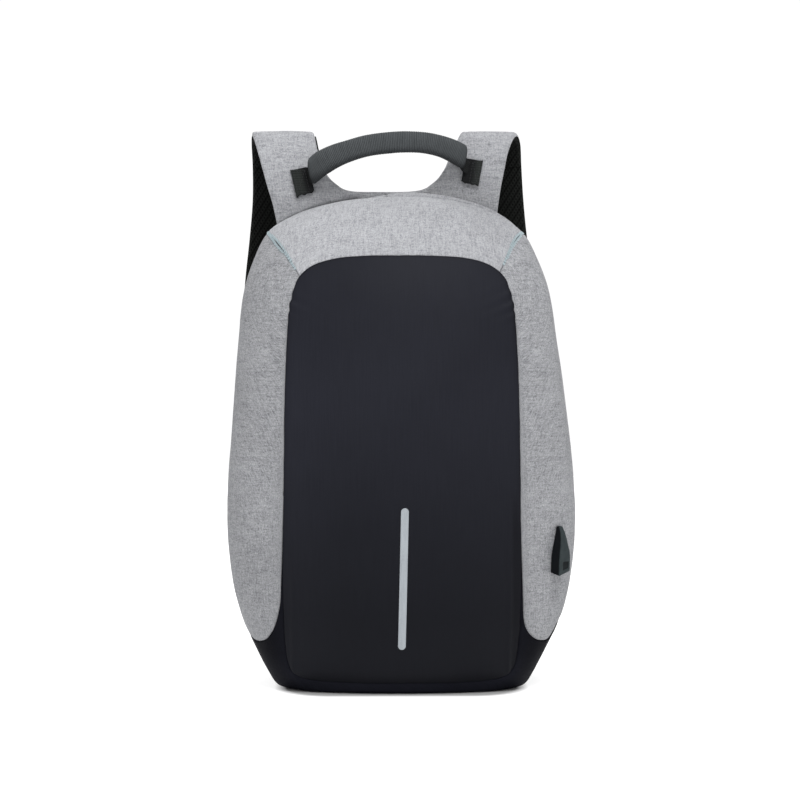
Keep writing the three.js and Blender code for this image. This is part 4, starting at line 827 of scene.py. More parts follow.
    m = Nodes("zip_coil")
    x, y, z = m.place()
    smear = m.noise(m.math("MULTIPLY", x, 160), m.math("MULTIPLY", y, 160), m.math("MULTIPLY", z, 160), 2.0)
    m.set(Base_Color=m.ramp(smear, (0.35, (0.0065, 0.0065, 0.0072)), (0.65, (0.013, 0.013, 0.0142))), Roughness=0.34, Specular_IOR_Level=0.4)

    m = Nodes("slider_metal")  # dark plated slider, brushed and rubbed bright at the edges
    x, y, z = m.place()
    brush = m.noise(m.math("MULTIPLY", x, 900), m.math("MULTIPLY", y, 900), m.math("MULTIPLY", z, 5200), 2.0)
    geo = m.new("ShaderNodeNewGeometry")
    edge = m.remap(geo.outputs["Pointiness"], 0.5, 0.56)
    base = m.mix(edge, m.ramp(brush, (0.3, (0.045, 0.046, 0.049)), (0.7, (0.085, 0.087, 0.092))), (0.24, 0.243, 0.25, 1))
    m.set(Base_Color=base, Metallic=1.0, Roughness=m.remap(brush, 0.3, 0.7, 0.28, 0.42), Normal=m.bump(brush, 0.00002, 0.4))

    m = Nodes("socket_metal")
    x, y, z = m.place()
    brush = m.noise(m.math("MULTIPLY", x, 3000), m.math("MULTIPLY", y, 3000), m.math("MULTIPLY", z, 500), 2.0)
    m.set(Base_Color=m.ramp(brush, (0.3, (0.46, 0.47, 0.48)), (0.7, (0.62, 0.63, 0.64))), Metallic=1.0, Roughness=m.remap(brush, 0.3, 0.7, 0.22, 0.36),
          Normal=m.bump(brush, 0.00001, 0.4))

    m = Nodes("floor_paper")
    x, y, z = m.place()
    tooth = m.noise(m.math("MULTIPLY", x, 60), m.math("MULTIPLY", y, 60), 0.0, 2.0)
    # the paper glows white, but the glow fades out near the bag's footprint: a painted contact shadow there, deepened
    # by the real one
    dx = m.math("MAXIMUM", m.math("SUBTRACT", m.math("ABSOLUTE", x), 0.060), 0.0)
    dy = m.math("MAXIMUM", m.math("SUBTRACT", m.math("ABSOLUTE", m.math("ADD", y, 0.024)), 0.024), 0.0)
    reach = m.math("SQRT", m.math("ADD", m.math("MULTIPLY", dx, dx), m.math("MULTIPLY", dy, dy)))
    glow = m.remap(reach, 0.040, 0.051, 0.0, 0.82)
    m.set(Base_Color=m.ramp(tooth, (0.3, (0.42, 0.42, 0.42)), (0.7, (0.44, 0.44, 0.44))), Roughness=0.9, Specular_IOR_Level=0.1,
          Emission_Color=(1, 1, 1, 1), Emission_Strength=glow)


make_materials()


# ------------------------------------------------------------------ bag walls
def wall_piece(name, material, spacing=1.33):
    low, high = PIECES[name]
    mid = lambda t: (low(t) + high(t)) / 2
    tt = np.linspace(0, 2, 400)
    section = wall(mid(tt), tt)
    s = arc_lengths(section, 0)
    if name == "top_band":  # closer rows where the ridge is sewn down
        density = 1 + 2.2 * step(1.3, 1.4, tt) * step(1.84, 1.74, tt)
        s = np.concatenate([[0], np.cumsum(np.diff(s) * (density[1:] + density[:-1]) / 2)])
    along_t = graded(s[-1], spacing)
    t = np.interp(along_t * s[-1], s, tt)
    run = wall(np.linspace(low(np.array(1.0)), high(np.array(1.0)), 400), 1.0)
    f = graded(arc_lengths(run, 0)[-1], spacing)
    station = low(t)[:, None] + (high(t) - low(t))[:, None] * f[None]
    T = np.broadcast_to(t[:, None], station.shape)
    base = wall(station, T)
    n = wall_offset(station, T)
    true_n = wall_normal(station, T)
    d_panel, a_panel = line_distance(base, base[0])
    d_back, a_back = line_distance(base, base[-1])
    d_low, a_low = line_distance(base, base[:, 0])
    d_high, a_high = line_distance(base, base[:, -1])
    seed = {"top_band": 11, "side_band_right": 23, "side_band_left": 37, "base_cup": 51}[name]
    drop = 1.25 * quarter(d_panel, 2.0) + 0.55 * np.exp(-d_panel / 7)
    drop += 0.9 * quarter(d_back, 1.8) + 0.5 * np.exp(-d_back / 6)
    ends = np.minimum(d_low, d_high)
    drop += 1.15 * quarter(ends, 1.9) + 0.5 * np.exp(-ends / 6)
    wobble = 0.34 * puckers(a_panel, d_panel, 6.5, 8, seed) + 0.26 * puckers(a_back, d_back, 7, 7, seed + 1)
    wobble += 0.34 * puckers(a_low, d_low, 6, 9, seed + 2) + 0.34 * puckers(a_high, d_high, 6, 9, seed + 3)
    soft = {"base_cup": 0.35}.get(name, 0.5)
    wobble += soft * clouds(base, 62, 2, seed + 4) * step(2, 30, np.minimum(d_panel, d_back))
    wobble += 0.12 * clouds(base, 14, 2, seed + 6)
    # the roll along the back edge: a stitched ditch with the edge standing proud behind it
    # painted shade along every seam and edge of the wall piece
    shade_and_soil = 0.35 * np.exp(-np.minimum(np.minimum(d_panel, d_back), ends) / 0.5)
    if name.startswith("side"):
        drop += np.exp(-(((d_back - 7.0) / 0.8) ** 2)) * 0.75
    if name == "top_band":
        # behind the crest the cloth is sewn down, and a soft ridge stands behind that line
        line = smooth(RIDGE[:, 0], RIDGE[:, 1], station)
        behind = (T - line) * 18
        there = step(2.0, 1.9, line)
        drop += there * 1.7 * np.exp(-((behind / 0.75) ** 2)) - there * 0.55 * np.exp(-(((behind - 2.6) / 1.8) ** 2))
        drop -= 0.75 * np.exp(-d_back / 2.5)
        mark = np.exp(-(((base[..., 0] + 12.9) / 0.9) ** 2)) * step(-0.4, 0.6, behind)
        drop += 0.8 * mark
        # painted shadow in the sewn ditch behind the crest, the dark seam mark, and the ridge behind it a little darker
        shade_and_soil = np.maximum(shade_and_soil, np.maximum(there * 0.6 * np.exp(-((behind / 0.5) ** 2)), 0.62 * mark))
        shade_and_soil = np.maximum(shade_and_soil, 0.16 * step(0, 1.5, behind) * there)
    shift = -drop + wobble * (1 - 0.7 * np.exp(-np.minimum(np.minimum(d_panel, d_back), ends) / 0.8))
    if name == "base_cup":  # the flanks get painted shade away from the front edge; the flat bottom stays flat
        shade_and_soil = np.maximum(shade_and_soil, 0.6 * step(55, 100, np.abs(base[..., 0])) * step(0, 16, d_panel))
        under = np.clip((base[..., 2] - 1.0) / 10, 0, 1)
        shift = np.where(true_n[..., 2] < -0.5, np.minimum(shift, 0) * under - 0.0, shift)
    outer = base + n * shift[..., None]
    outer[..., 2] = np.maximum(outer[..., 2], 0.02)
    inner = base - n * WALL
    inner[..., 2] = np.maximum(inner[..., 2], 0.6)
    # the weave: upright threads upright on the sides and on the top band
    across = arc_lengths(base, 0)
    around = arc_lengths(base, 1)
    around = around - around[:, around.shape[1] // 2][:, None]
    if name in ("top_band", "base_cup"):
        uv = np.stack([around, across], -1)
    else:
        uv = np.stack([across, base[..., 2]], -1)
    obj = shade(shell(name + "_cloth", outer, inner, uv, material), shade_and_soil)
    return obj, dict(base=base, n=n, true_n=true_n, outer=outer)


MADE = {}


def keep(obj, slot, *nodes, fill=None):
    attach(obj, "root")
    if nodes:
        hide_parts(*nodes)
    MADE[obj.name] = obj
    return obj


NETS = {}
for piece, material in (("top_band", "grey_top"), ("side_band_right", "grey_side_shaded"), ("side_band_left", "grey_side_shaded"), ("base_cup", "base_cloth")):
    obj, NETS[piece] = wall_piece(piece, material)
    keep(obj, "black_cloth" if piece == "base_cup" else "grey_cloth", piece, fill=0.5)


# ------------------------------------------------------------------ front panel
def polar(outline, centre, spacing, edge=(0.22, 0.3, 0.4, 0.55, 0.75, 0.95)):
    """Rings from an outline (x, z) to its centre, graded at the outline: rings x points."""
    reach = np.linalg.norm(outline - centre, axis=1).min()
    a = np.cumsum(edge)
    n = int((reach - a[-1]) / spacing)
    d = np.concatenate([[0], a, a[-1] + (np.arange(n) + 1) * (reach - a[-1]) / n])[:-1]
    f = 1 - d / reach
    return centre + (outline - centre)[None] * f[:, None, None], f


def disc_faces(rings, count, middle, flip):
    q = grid_faces(rings, count, wrap=True)
    j = np.arange(count)
    last = (rings - 1) * count
    tri = np.stack([last + j, last + (j + 1) % count, np.full(count, middle)], -1)
    return [q[:, ::-1], tri[:, ::-1]] if flip else [q, tri]


def front_panel():
    # the panel's edge keeps one gap from the walls round it
    count = 720
    dense = np.linspace(0, COUNT, 4001)
    p = RING_P(dense / COUNT)[:, (0, 2)]
    s = np.concatenate([[0], np.cumsum(np.linalg.norm(np.diff(p, axis=0), axis=1))])
    station = np.interp(np.linspace(0, s[-1], count, endpoint=False), s, dense)
    q = RING_P(station / COUNT)[:, (0, 2)]
    centre = np.array((0.0, PANEL_MID_Z))
    away = q - centre
    reach = 0.45 + 0.9 * np.exp(-(((q[:, 1] - 345) / 30) ** 2))  # over the walls' edge
    q = centre + away * (1 + reach / np.linalg.norm(away, axis=1))[:, None]
    xz, f = polar(q, centre, 1.8)
    x, z = xz[..., 0], xz[..., 1]
    base = panel(x, z)
    n = panel_normal(x, z)
    n[0] = seam_normal(station)
    d, along = line_distance(base, np.concatenate([base[0], base[:1, 0]]))
    drop = 1.0 * quarter(d, 1.7) + 0.35 * np.exp(-d / 6)
    wobble = 0.26 * puckers(along, d, 5, 7, 71) + 0.28 * clouds(base, 75, 2, 72) * step(2, 40, d)
    # gathers at the upper right corner, where the cloth is eased round the curve
    near = np.exp(-(((z - 333) / 13) ** 2)) * np.exp(-d / 11)
    wobble += 0.75 * near * np.sin(z / 1.55 + 0.25 * d)
    near = np.exp(-(((z - 340) / 16) ** 2)) * np.exp(-d / 9) * (x < 0)
    wobble += 0.3 * near * np.sin(z / 2.1 + 0.2 * d)
    # the foam's edge shows as a faint upright line by the lower right seam
    line = 92.6 + 0.6 * np.sin(z / 40)
    fade = step(6, 24, z) * step(185, 140, z)
    wobble += fade * (0.55 * np.exp(-(((x - line + 1.3) / 1.6) ** 2)) - 0.75 * step(-0.4, 1.6, x - line))
    line = -95.2 + 0.5 * np.sin(z / 35)
    fade = step(6, 24, z) * step(150, 90, z)
    wobble += fade * (0.35 * np.exp(-(((x - line - 1.2) / 1.5) ** 2)) - 0.5 * step(0.4, -1.6, x - line))
    outer = base + n * (wobble - drop)[..., None]
    mid = panel(0.0, PANEL_MID_Z)
    inner = panel(xz[0, :, 0], xz[0, :, 1]) - n[0] * WALL
    hem = centre + (xz[0] - centre) * 0.93
    hem3 = panel(hem[:, 0], hem[:, 1]) - panel_normal(hem[:, 0], hem[:, 1]) * WALL
    rings, k = outer.shape[:2]
    points = np.concatenate([outer.reshape(-1, 3), mid[None], inner, hem3, mid[None] - panel_normal(0.0, PANEL_MID_Z) * WALL])
    middle = rings * k
    faces = disc_faces(rings, k, middle, False)
    way = np.concatenate([n.reshape(-1, 3), [(0, -1, 0)]])
    flip = not outward(points[: middle + 1], faces[0], middle, way)
    faces = disc_faces(rings, k, middle, flip)
    i0 = middle + 1
    j = np.arange(k)
    j1 = (j + 1) % k
    rim = np.stack([j1, j, i0 + j, i0 + j1], -1)
    hemf = np.stack([i0 + j1, i0 + j, i0 + k + j, i0 + k + j1], -1)
    tri = np.stack([i0 + k + j1, i0 + k + j, np.full(k, i0 + 2 * k)], -1)
    back = [rim, hemf, tri]
    if flip:
        back = [b[:, ::-1] for b in back]
    uv = points[:, (0, 2)]
    # painted shade along the panel's turned-in edge, widest at the upper right
    upper_right = step(250, 320, z) * step(372, 350, z) * step(60, 85, x)
    soft = step(210, 110, z)  # the edge is plainest low down, where the base is as dark as the panel
    shade_and_soil = (0.75 - 0.6 * soft) * np.exp(-d / (0.9 + 0.9 * upper_right + 0.8 * soft)) + 0.3 * np.exp(-d / (3.2 + 3 * soft))
    # painted shade beside the foam's upright line by the lower right seam
    shade_and_soil = np.maximum(shade_and_soil, 0.55 * step(93.0, 94.5, x) * step(185, 140, z))
    return shade(to_object("front_panel_cloth", points, faces + back, uv, "panel_cloth"), shade_and_soil)


keep(front_panel(), "black_cloth", "front_panel", fill=0.6)


# ------------------------------------------------------------------ harness
LINE = Curve(np.stack([0 * HARNESS[:, 0], HARNESS[:, 1], HARNESS[:, 2]], -1))
DENSE_ROW = np.linspace(0, LAST_ROW, 3601)
DENSE_S = arc_lengths(LINE(DENSE_ROW / LAST_ROW), 0)
row_to_s = lambda r: np.interp(r, DENSE_ROW, DENSE_S)
s_to_row = lambda s: np.interp(s, DENSE_S, DENSE_ROW)
edge_x = lambda name, row: smooth(HARNESS[:, 0], HARNESS[:, COLUMN[name]], row)


def harness_point(row, x, off, dz):
    c, t = LINE(row / LAST_ROW), LINE.tangent(row / LAST_ROW)
    return np.stack([x, c[..., 1] + t[..., 2] * off, c[..., 2] + dz - t[..., 1] * off], -1)


def positions(a, b, spacing, marks=()):
    """Positions from a to b, closer together at both ends and about each mark."""
    n = int((b - a) / spacing) * 6
    v = np.linspace(a, b, n)
    density = np.full(n, 1 / spacing)
    for m in (a, b, *marks):
        density += 2.2 * np.exp(-(((v - m) / 2.4) ** 2)) / spacing
    c = np.concatenate([[0], np.cumsum((density[1:] + density[:-1]) / 2 * np.diff(v))])
    return np.interp(np.linspace(0, c[-1], int(c[-1])), c, v)


def harness_net(kind, spacing=1.45):
    """Net of one harness piece: row, x, dz of its points, its faces, and its edges as
    polylines in the flat (x, s) plane: true edges and sewn ends."""
    if kind == "yoke":
        s_u = float(row_to_s(U_ROW))
        s_all = positions(0, float(row_to_s(SEAM_ROW)), spacing, (s_u,))
        i_u = int(np.abs(s_all - s_u).argmin())
        s_all[i_u] = s_u
        sides = [("leftOut", "leftIn"), ("rightIn", "rightOut")]
    else:
        s_all = positions(float(row_to_s(SEAM_ROW)) + 0.02, float(row_to_s(LAST_ROW)), spacing)
        sides = [("leftOut", "leftIn")] if kind == "left" else [("rightIn", "rightOut")]
    rows = s_to_row(s_all)
    f = positions(0, 60, spacing) / 60
    row, x, dz, flat, faces = [], [], [], [], []
    count = 0
    columns = {}
    for a, b in sides:
        xa, xb = edge_x(a, rows), edge_x(b, rows)
        X = xa[:, None] + (xb - xa)[:, None] * f[None]
        R = np.broadcast_to(rows[:, None], X.shape)
        faces.append(grid_faces(len(rows), len(f), count))
        columns[a], columns[b] = count + np.arange(len(rows)) * len(f), count + np.arange(len(rows)) * len(f) + len(f) - 1
        row.append(R.reshape(-1)); x.append(X.reshape(-1)); dz.append(np.zeros(X.size))
        flat.append(np.stack([X, np.broadcast_to(s_all[:, None], X.shape)], -1).reshape(-1, 2))
        count += X.size
    if kind == "yoke":
        # the middle, up to the bottom of the cut-out
        g = positions(U_BOTTOM[0, 0], U_BOTTOM[-1, 0], spacing)[1:-1]
        top = smooth(U_BOTTOM[:, 0], U_BOTTOM[:, 1], g)
        z0, zu = HARNESS[0, 2], HARNESS[U_ROW, 2]
        rr = rows[: i_u + 1]
        zr = LINE(rr / LAST_ROW)[:, 2]
        k = (top - z0) / (zu - z0) - 1
        DZ = (zr - z0)[:, None] * k[None]
        xl, xr = edge_x("leftIn", rr), edge_x("rightIn", rr)
        X = xl[:, None] + (xr - xl)[:, None] * ((g - U_BOTTOM[0, 0]) / (U_BOTTOM[-1, 0] - U_BOTTOM[0, 0]))[None]
        R = np.broadcast_to(rr[:, None], DZ.shape)
        m = len(g)
        ids = count + np.arange(DZ.size).reshape(DZ.shape)
        full = np.concatenate([columns["leftIn"][: i_u + 1, None], ids, columns["rightIn"][: i_u + 1, None]], 1)
        faces.append(np.stack([full[:-1, :-1], full[:-1, 1:], full[1:, 1:], full[1:, :-1]], -1).reshape(-1, 4))
        row.append(R.reshape(-1)); x.append(X.reshape(-1)); dz.append(DZ.reshape(-1))
        flat.append(np.stack([X, s_all[: i_u + 1, None] + DZ], -1).reshape(-1, 2))
    row, x, dz, flat = map(np.concatenate, (row, x, dz, flat))
    line = lambda name, a=0, b=None: flat[columns[name][a:b]]
    nf = len(f)
    if kind == "yoke":
        bottom = np.concatenate([flat[columns["leftOut"][0] : columns["leftOut"][0] + nf], flat[columns["rightIn"][0] : columns["rightIn"][0] + nf]])
        cut = np.concatenate([line("leftIn", i_u)[::-1], flat[ids[-1]], line("rightIn", i_u)])
        edges = [line("leftOut"), line("rightOut"), cut, bottom]
        seams = [flat[columns["leftOut"][-1] : columns["leftOut"][-1] + nf], flat[columns["rightIn"][-1] : columns["rightIn"][-1] + nf]]
    else:
        a, b = sides[0]
        edges = [line(a), line(b), flat[columns[a][-1] : columns[a][-1] + nf]]
        seams = [flat[columns[a][0] : columns[a][0] + nf]]
    return row, x, dz, flat, np.concatenate(faces), edges, seams


def harness_piece(kind, label):
    row, x, dz, flat, faces, edges, seams = harness_net(kind)
    d_edge, a_edge = line_distance(flat, edges[0])
    for k, e in enumerate(edges[1:]):
        d, a = line_distance(flat, e)
        a_edge = np.where(d < d_edge, a + 1000 * (k + 1), a_edge)
        d_edge = np.minimum(d, d_edge)
    d_seam = np.min([line_distance(flat, e)[0] for e in seams], axis=0)
    a_seam = flat[:, 0]
    free = step(2.6, 4.6, row)  # below this the yoke lies close to the back panel
    seed = {"yoke": 101, "left": 131, "right": 151}[kind]
    place3 = harness_point(row, x, 0 * x, dz)
    round_edge = np.sqrt(np.maximum(1 - (1 - np.clip(d_edge / 3.9, 0, 1)) ** 2, 0))
    # the left arm's outer corner is creased sharply where it turns over
    round_edge = round_edge ** (1 - 0.7 * np.exp(-(((row - 7.8) / 1.0) ** 2)) * step(-122, -128, x))
    results = []
    # cover: the weave turned over the padding, pressed flat by the seam at its edge
    high = 3.85 + 0.75 * free * (1 - np.exp(-d_edge / 13))
    high = high * round_edge
    if kind == "yoke":
        high -= 0.16 * np.exp(-(((d_edge - 6.2) / 1.0) ** 2)) * free
    else:  # pressed down along its row of stitches
        high -= 0.6 * np.exp(-(((d_edge - 5.6) / 1.1) ** 2))
    high -= (1.3 * quarter(d_seam, 2.0) + 0.6 * np.exp(-d_seam / 6)) * round_edge
    ripple = 0.22 * puckers(a_edge, d_edge, 6.5, 7, seed) + 0.3 * puckers(a_seam, d_seam, 6, 8, seed + 1)
    ripple += 0.34 * clouds(place3, 48, 2, seed + 2) * free + 0.1 * clouds(place3, 13, 2, seed + 3)
    high = high + ripple * np.clip(d_edge / 3, 0, 1)
    p = harness_point(row, x, -np.maximum(high, 0.0), dz)
    face = p
    cover = to_object(f"{label}_cloth", p, [faces], flat, "grey_harness")
    # painted shade along the sewn ends
    shade_and_soil = 0.3 * np.exp(-d_seam / 0.5) + 0 * x
    if kind == "yoke":  # painted shade where it lies behind the body and under the handle
        outside = p[:, 1] < 12
        shade_and_soil = np.maximum(shade_and_soil, step(439, 424, p[:, 2]) * outside * (0.05 + 0.04 * step(20, -40, x) * step(-100, -80, x)))
        shade_and_soil = np.maximum(shade_and_soil, 0.13 * np.maximum(step(30, 50, x) * step(450, 438, p[:, 2]), step(50, 60, x)) * outside)
        # the line of shadow where the body's crest stands before it
        crest = np.interp(x, [-114, -100, -82, -64, -46, -35, -20], [403.4, 412, 419.7, 424.7, 428.5, 430.6, 433])
        shade_and_soil = np.maximum(shade_and_soil, 0.95 * np.exp(-((np.maximum(p[:, 2] - crest, 0) / 2.3) ** 2)) * step(-30, -46, x) * outside)
    shade(cover, shade_and_soil)
    fix_way(cover, p, faces, p - harness_point(row, x, 0 * x + 2, dz))
    results.append(cover)
    # mesh on the inside of the loop, a little narrower, softer and more crowned
    dm = np.maximum(d_edge - 0.9, 0)
    rm = np.sqrt(np.maximum(1 - (1 - np.clip(dm / 3.4, 0, 1)) ** 2, 0))
    low = (3.3 + (0.5 + 0.5 * free) * (1 - np.exp(-dm / 12))) * rm
    low -= 0.55 * np.exp(-(((dm - 4.2) / 0.9) ** 2))
    low -= (1.4 * quarter(d_seam, 2.2) + 0.7 * np.exp(-d_seam / 7)) * rm
    fold = np.exp(-(((row - 8) / 1.5) ** 2))
    low += fold * 0.5 * np.sin(flat[:, 1] / 2.6 + 1.5 * noise(flat[:, 0] / 18, flat[:, 1] / 9, seed=seed + 8)) * step(2, 9, dm)
    low += (0.26 * puckers(a_edge, dm, 5.5, 8, seed + 5) + 0.3 * clouds(place3, 40, 2, seed + 6)) * np.clip(dm / 3, 0, 1)
    p = harness_point(row, x, 0.35 + np.maximum(low, 0.0), dz)
    if kind == "yoke":  # its edge shows past the cover along the inner side of the left arm
        lip = np.exp(-((d_edge / 1.8) ** 2)) * step(-84, -81, x) * step(-66, -70, x) * step(466, 472, p[:, 2]) * step(8.3, 7.6, row)
        p = p + lip[:, None] * np.array((1.3, 0, 0))
    mesh = to_object(f"{label}_knit", p, [faces[:, ::-1]], flat, "strap_mesh")
    fix_way(mesh, p, faces[:, ::-1], p - harness_point(row, x, 0 * x - 3, dz))
    results.append(mesh)
    return results, dict(row=row, x=x, face=face)


def strap_thread(side):
    """Topstitching down both edges of a strap's cover and across its lower end."""
    net = NETS[f"strap_{side}"]
    rows = len(np.unique(net["row"]))
    row, x, face = (v.reshape(rows, -1, *v.shape[1:]) for v in (net["row"], net["x"], net["face"]))
    t = LINE.tangent(row[:, 0] / LAST_ROW)
    out = np.stack([0 * t[:, 0], -t[:, 2], t[:, 1]], -1)
    pick = lambda i, at: np.stack([np.interp(at, x[i], face[i, :, k]) for k in range(3)], -1)
    made = []
    for at in (x[:, 0] + 5.6, x[:, -1] - 5.6):
        line = np.array([pick(i, at[i]) for i in range(3, rows - 3)])
        made.append(stitches("t", line, out[3 : rows - 3], "thread_grey", 2.9, 1.0, 0.3, 0.02))
    for back_by in (5, 8):
        i = rows - 1 - back_by
        at = np.linspace(x[i, 0] + 6.5, x[i, -1] - 6.5, 40)
        made.append(stitches("t", pick(i, at), np.tile(out[i], (40, 1)), "thread_grey", 2.4, 0.9, 0.3, 0.02))
    return joined(f"strap_{side}_thread", made)


def fix_way(obj, points, faces, way):
    if not outward(points, faces, 0, way):
        obj.data.flip_normals()


for kind, label, cover_node, mesh_node in (("yoke", "yoke", "yoke_cover", "yoke_mesh"), ("left", "strap_left", "strap_cover_left", "strap_mesh_left"),
                                           ("right", "strap_right", "strap_cover_right", "strap_mesh_right")):
    (cover, mesh), NETS[label] = harness_piece(kind, label)
    keep(cover, "grey_cloth", cover_node, fill=0.55)
    keep(mesh, "black_mesh", mesh_node, fill=0.55)
for side in ("left", "right"):
    keep(strap_thread(side), "grey_cloth")


# ------------------------------------------------------------------ haul handle
GRIP_LINE = Curve(GRIP[:, :3])


def grip():
    u = np.linspace(0, 1, 2401)
    s = arc_lengths(GRIP_LINE(u), 0)
    total = s[-1]
    at = np.linspace(0, total, 560)
    at = np.unique(np.concatenate([at, np.linspace(0, 3, 14), total - np.linspace(0, 3, 14)]))
    uu = np.interp(at, s, u)
    c, t = GRIP_LINE(uu), GRIP_LINE.tangent(uu)
    n = unit(np.array((0, -1.0, 0)) + t * t[:, 1:2])
    w = np.cross(n, t)
    key = np.linspace(0, 1, len(GRIP))
    wide, thick = smooth(key, GRIP[:, 3], uu) / 2, smooth(key, GRIP[:, 4], uu) / 2
    end = np.minimum(at, total - at)
    # both ends are cut off nearly upright: the lower side of the sleeve runs on over the tabs
    first, last = step(13, 0, at), step(13, 0, total - at)
    wide = wide * (1 - 0.07 * first - 0.05 * last)
    first, last = first[:, None], last[:, None]
    c = c - t * 5.0 * first + t * 3.0 * last
    up = np.sign(w[:, 2:3])
    w = w + up * t * (0.55 * first - 0.33 * last)
    at = arc_lengths(c, 0)
    taper = 0.74 + 0.26 * np.sqrt(np.maximum(1 - (1 - np.clip(end / 3.0, 0, 1)) ** 2, 0))
    around = 56
    ang = (np.arange(around) + 0.5) / around * 2 * np.pi
    rib = 0.16 * np.cos(at / 1.5 * 2 * np.pi)[:, None] * np.ones(around)[None]
    lump = 0.3 * noise(at[:, None] / 15, np.cos(ang)[None] * 1.2, np.sin(ang)[None] * 1.2, 201)
    # the webbing's two edges meet along the back of the grip
    seam = -0.8 * np.exp(-((np.angle(np.exp(1j * (ang - 1.5 * np.pi))) / 0.07) ** 2))[None]
    edge_roll = -0.35 * np.exp(-((np.angle(np.exp(1j * (ang - 1.5 * np.pi))) / 0.32) ** 2))[None]
    fade = np.clip(end / 2, 0, 1)[:, None]
    obj = sweep("handle_grip_webbing", c, w, n, wide * taper, thick * taper, 0.8, around, "grip_webbing", shift=(rib + lump + seam + edge_roll) * fade)
    low = (w[:, None] * np.cos(ang)[None, :, None] + n[:, None] * np.sin(ang)[None, :, None])[..., 2]
    # painted shade at both cut ends and along the underside, with a little random tone
    shade_and_soil = 0.85 * np.exp(-end / 1.3)[:, None] + 0.4 * step(-0.35, -0.95, low) + 0.06 * noise(at[:, None] / 7, ang[None] * 1.5, seed=210)
    return shade(obj, shade_and_soil)


keep(grip(), "webbing", "handle_grip", fill=0.9)


def yoke_front(z):
    return smooth(HARNESS[:8, 2], HARNESS[:8, 1], z) - STRAP_HALF - 0.6


def tab(side):
    T, k = TABS[side], (1 if side == "left" else -1)
    a = math.radians(T["lean"])
    along = np.array((math.cos(a), 0, math.sin(a) * k)) * k
    across = np.array((-math.sin(a) * k, 0, math.cos(a)))
    tall, wide = T["tall"], T["wide"]
    v = graded(1.0 * tall, 0.6, (0.2, 0.3, 0.4)) * 2 - 1
    under = 2.0 if side == "left" else 5.0  # how far it runs on under the end of the grip
    full = wide + under
    outs = graded(1.0 * full, 0.6, (0.2, 0.3, 0.4)) * full - wide / 2
    origin = np.array((T["x"], 0, T["z"]))
    rows_o, rows_i, uv, shade_and_soil = [], [], [], []
    ragged = 0.9 * np.abs(np.sin(outs / 2.1)) + 0.5 * noise(outs / 1.1, 0.0, seed=9)
    for o, r in zip(outs, ragged):
        c = origin + along * o
        slant = (o + wide / 2) / full
        fall = 0.8 * step(0.8, 1.0, slant) - 0.5 * step(0.25, 0.0, slant)
        p = c[None] + across[None] * (v * tall / 2)[:, None]
        p = p + across[None] * (np.clip(-v - 0.8, 0, 0.2) * 5 * (r + fall * 1.6) - np.clip(v - 0.8, 0, 0.2) * 5 * fall)[:, None]
        y = yoke_front(p[:, 2])
        e = np.minimum(np.minimum((1 - np.abs(v)) * tall / 2, min(o + wide / 2, full - wide / 2 - o) + 0.001), 3)
        face = TAB_THICK + 0.35 - 1.1 * quarter(e, 1.0) + 0.1 * np.sin(o * 2.1) * np.ones_like(v)
        rows_o.append(np.stack([p[:, 0], y - face, p[:, 2]], -1))
        rows_i.append(np.stack([p[:, 0], y - 0 * y + 0.1, p[:, 2]], -1))
        uv.append(np.stack([np.full_like(v, o), v * tall / 2], -1))
        # painted shadow of the grip's end over the plate's inner part, and painted shade at its edges
        shade_and_soil.append(np.maximum(0.97 * step(wide / 2 - 8.5, wide / 2 - 2.5, o) * (1 - 0.3 * step(-0.75, -1.0, v)), 0.5 * np.exp(-e / 0.6)))
    plate = shell(f"handle_tab_{side}_webbing", np.array(rows_o), np.array(rows_i), np.array(uv), "tab_webbing", stride=1)
    shade(plate, np.concatenate([np.array(shade_and_soil).reshape(-1)] * 2))
    # the loop of webbing that the grip's padding hangs in
    g = GRIP[0] if side == "left" else GRIP[-1]
    t = GRIP_LINE.tangent(np.array(0.0 if side == "left" else 1.0)) * k
    m = 26
    f = np.linspace(0, 1, m)[:, None]
    start = origin + along * (wide / 2 + under * 0.35) + across * 2.6
    start = np.array((start[0], yoke_front(start[2]) - TAB_THICK - 0.4, start[2]))
    end = g[:3] + t * 5.0 + np.array((0, 0.6, 0))
    c = start * (1 - f) ** 2 + 2 * (start + np.array((0, -2.2, 0)) + along * 1.2) * f * (1 - f) + end * f**2
    tt = unit(np.gradient(c, axis=0))
    w = unit(across[None] - tt * (tt @ across)[:, None])
    nn = np.cross(tt, w)
    loop = sweep(f"tab_loop_{side}", c, w, nn, np.interp(np.linspace(0, 1, m), [0, 0.5, 1], [5.7, 5.5, 5.1]), 1.15, 0.4, 28, "tab_webbing", wrap_uv="flat")
    # painted shade over the whole loop, which lies under the grip's end
    shade(loop, np.full(len(loop.data.vertices), 0.8))
    plate = joined(f"handle_tab_{side}_webbing", [plate, loop])
    # box of thread that sews it down
    lx, lz = wide / 2 - 2.2, tall / 2 - 2.4
    box = [(-lx, -lz), (lx, -lz), (lx, lz), (-lx, lz), (-lx, -lz)]
    line = []
    for (x0, z0), (x1, z1) in zip(box[:-1], box[1:]):
        for f in np.linspace(0, 1, 14, endpoint=False):
            line.append(origin + along * (x0 + (x1 - x0) * f) + across * (z0 + (z1 - z0) * f))
    for (x0, z0), (x1, z1) in (((-lx, -lz), (lx, lz)),):
        for f in np.linspace(0, 1, 16):
            line.append(origin + along * (x0 + (x1 - x0) * f) + across * (z0 + (z1 - z0) * f))
    line = np.array(line)
    line[:, 1] = yoke_front(line[:, 2]) - TAB_THICK - 0.33
    nrm = np.tile((0.0, -1.0, 0.0), (len(line), 1))
    thread = stitches(f"handle_tab_{side}_thread", line, nrm, "thread_black", 1.9, 0.8, 0.24, 0.06)
    return plate, thread


for side in ("left", "right"):
    plate, thread = tab(side)
    keep(plate, "webbing", f"handle_tab_{side}")
    keep(thread, "webbing")


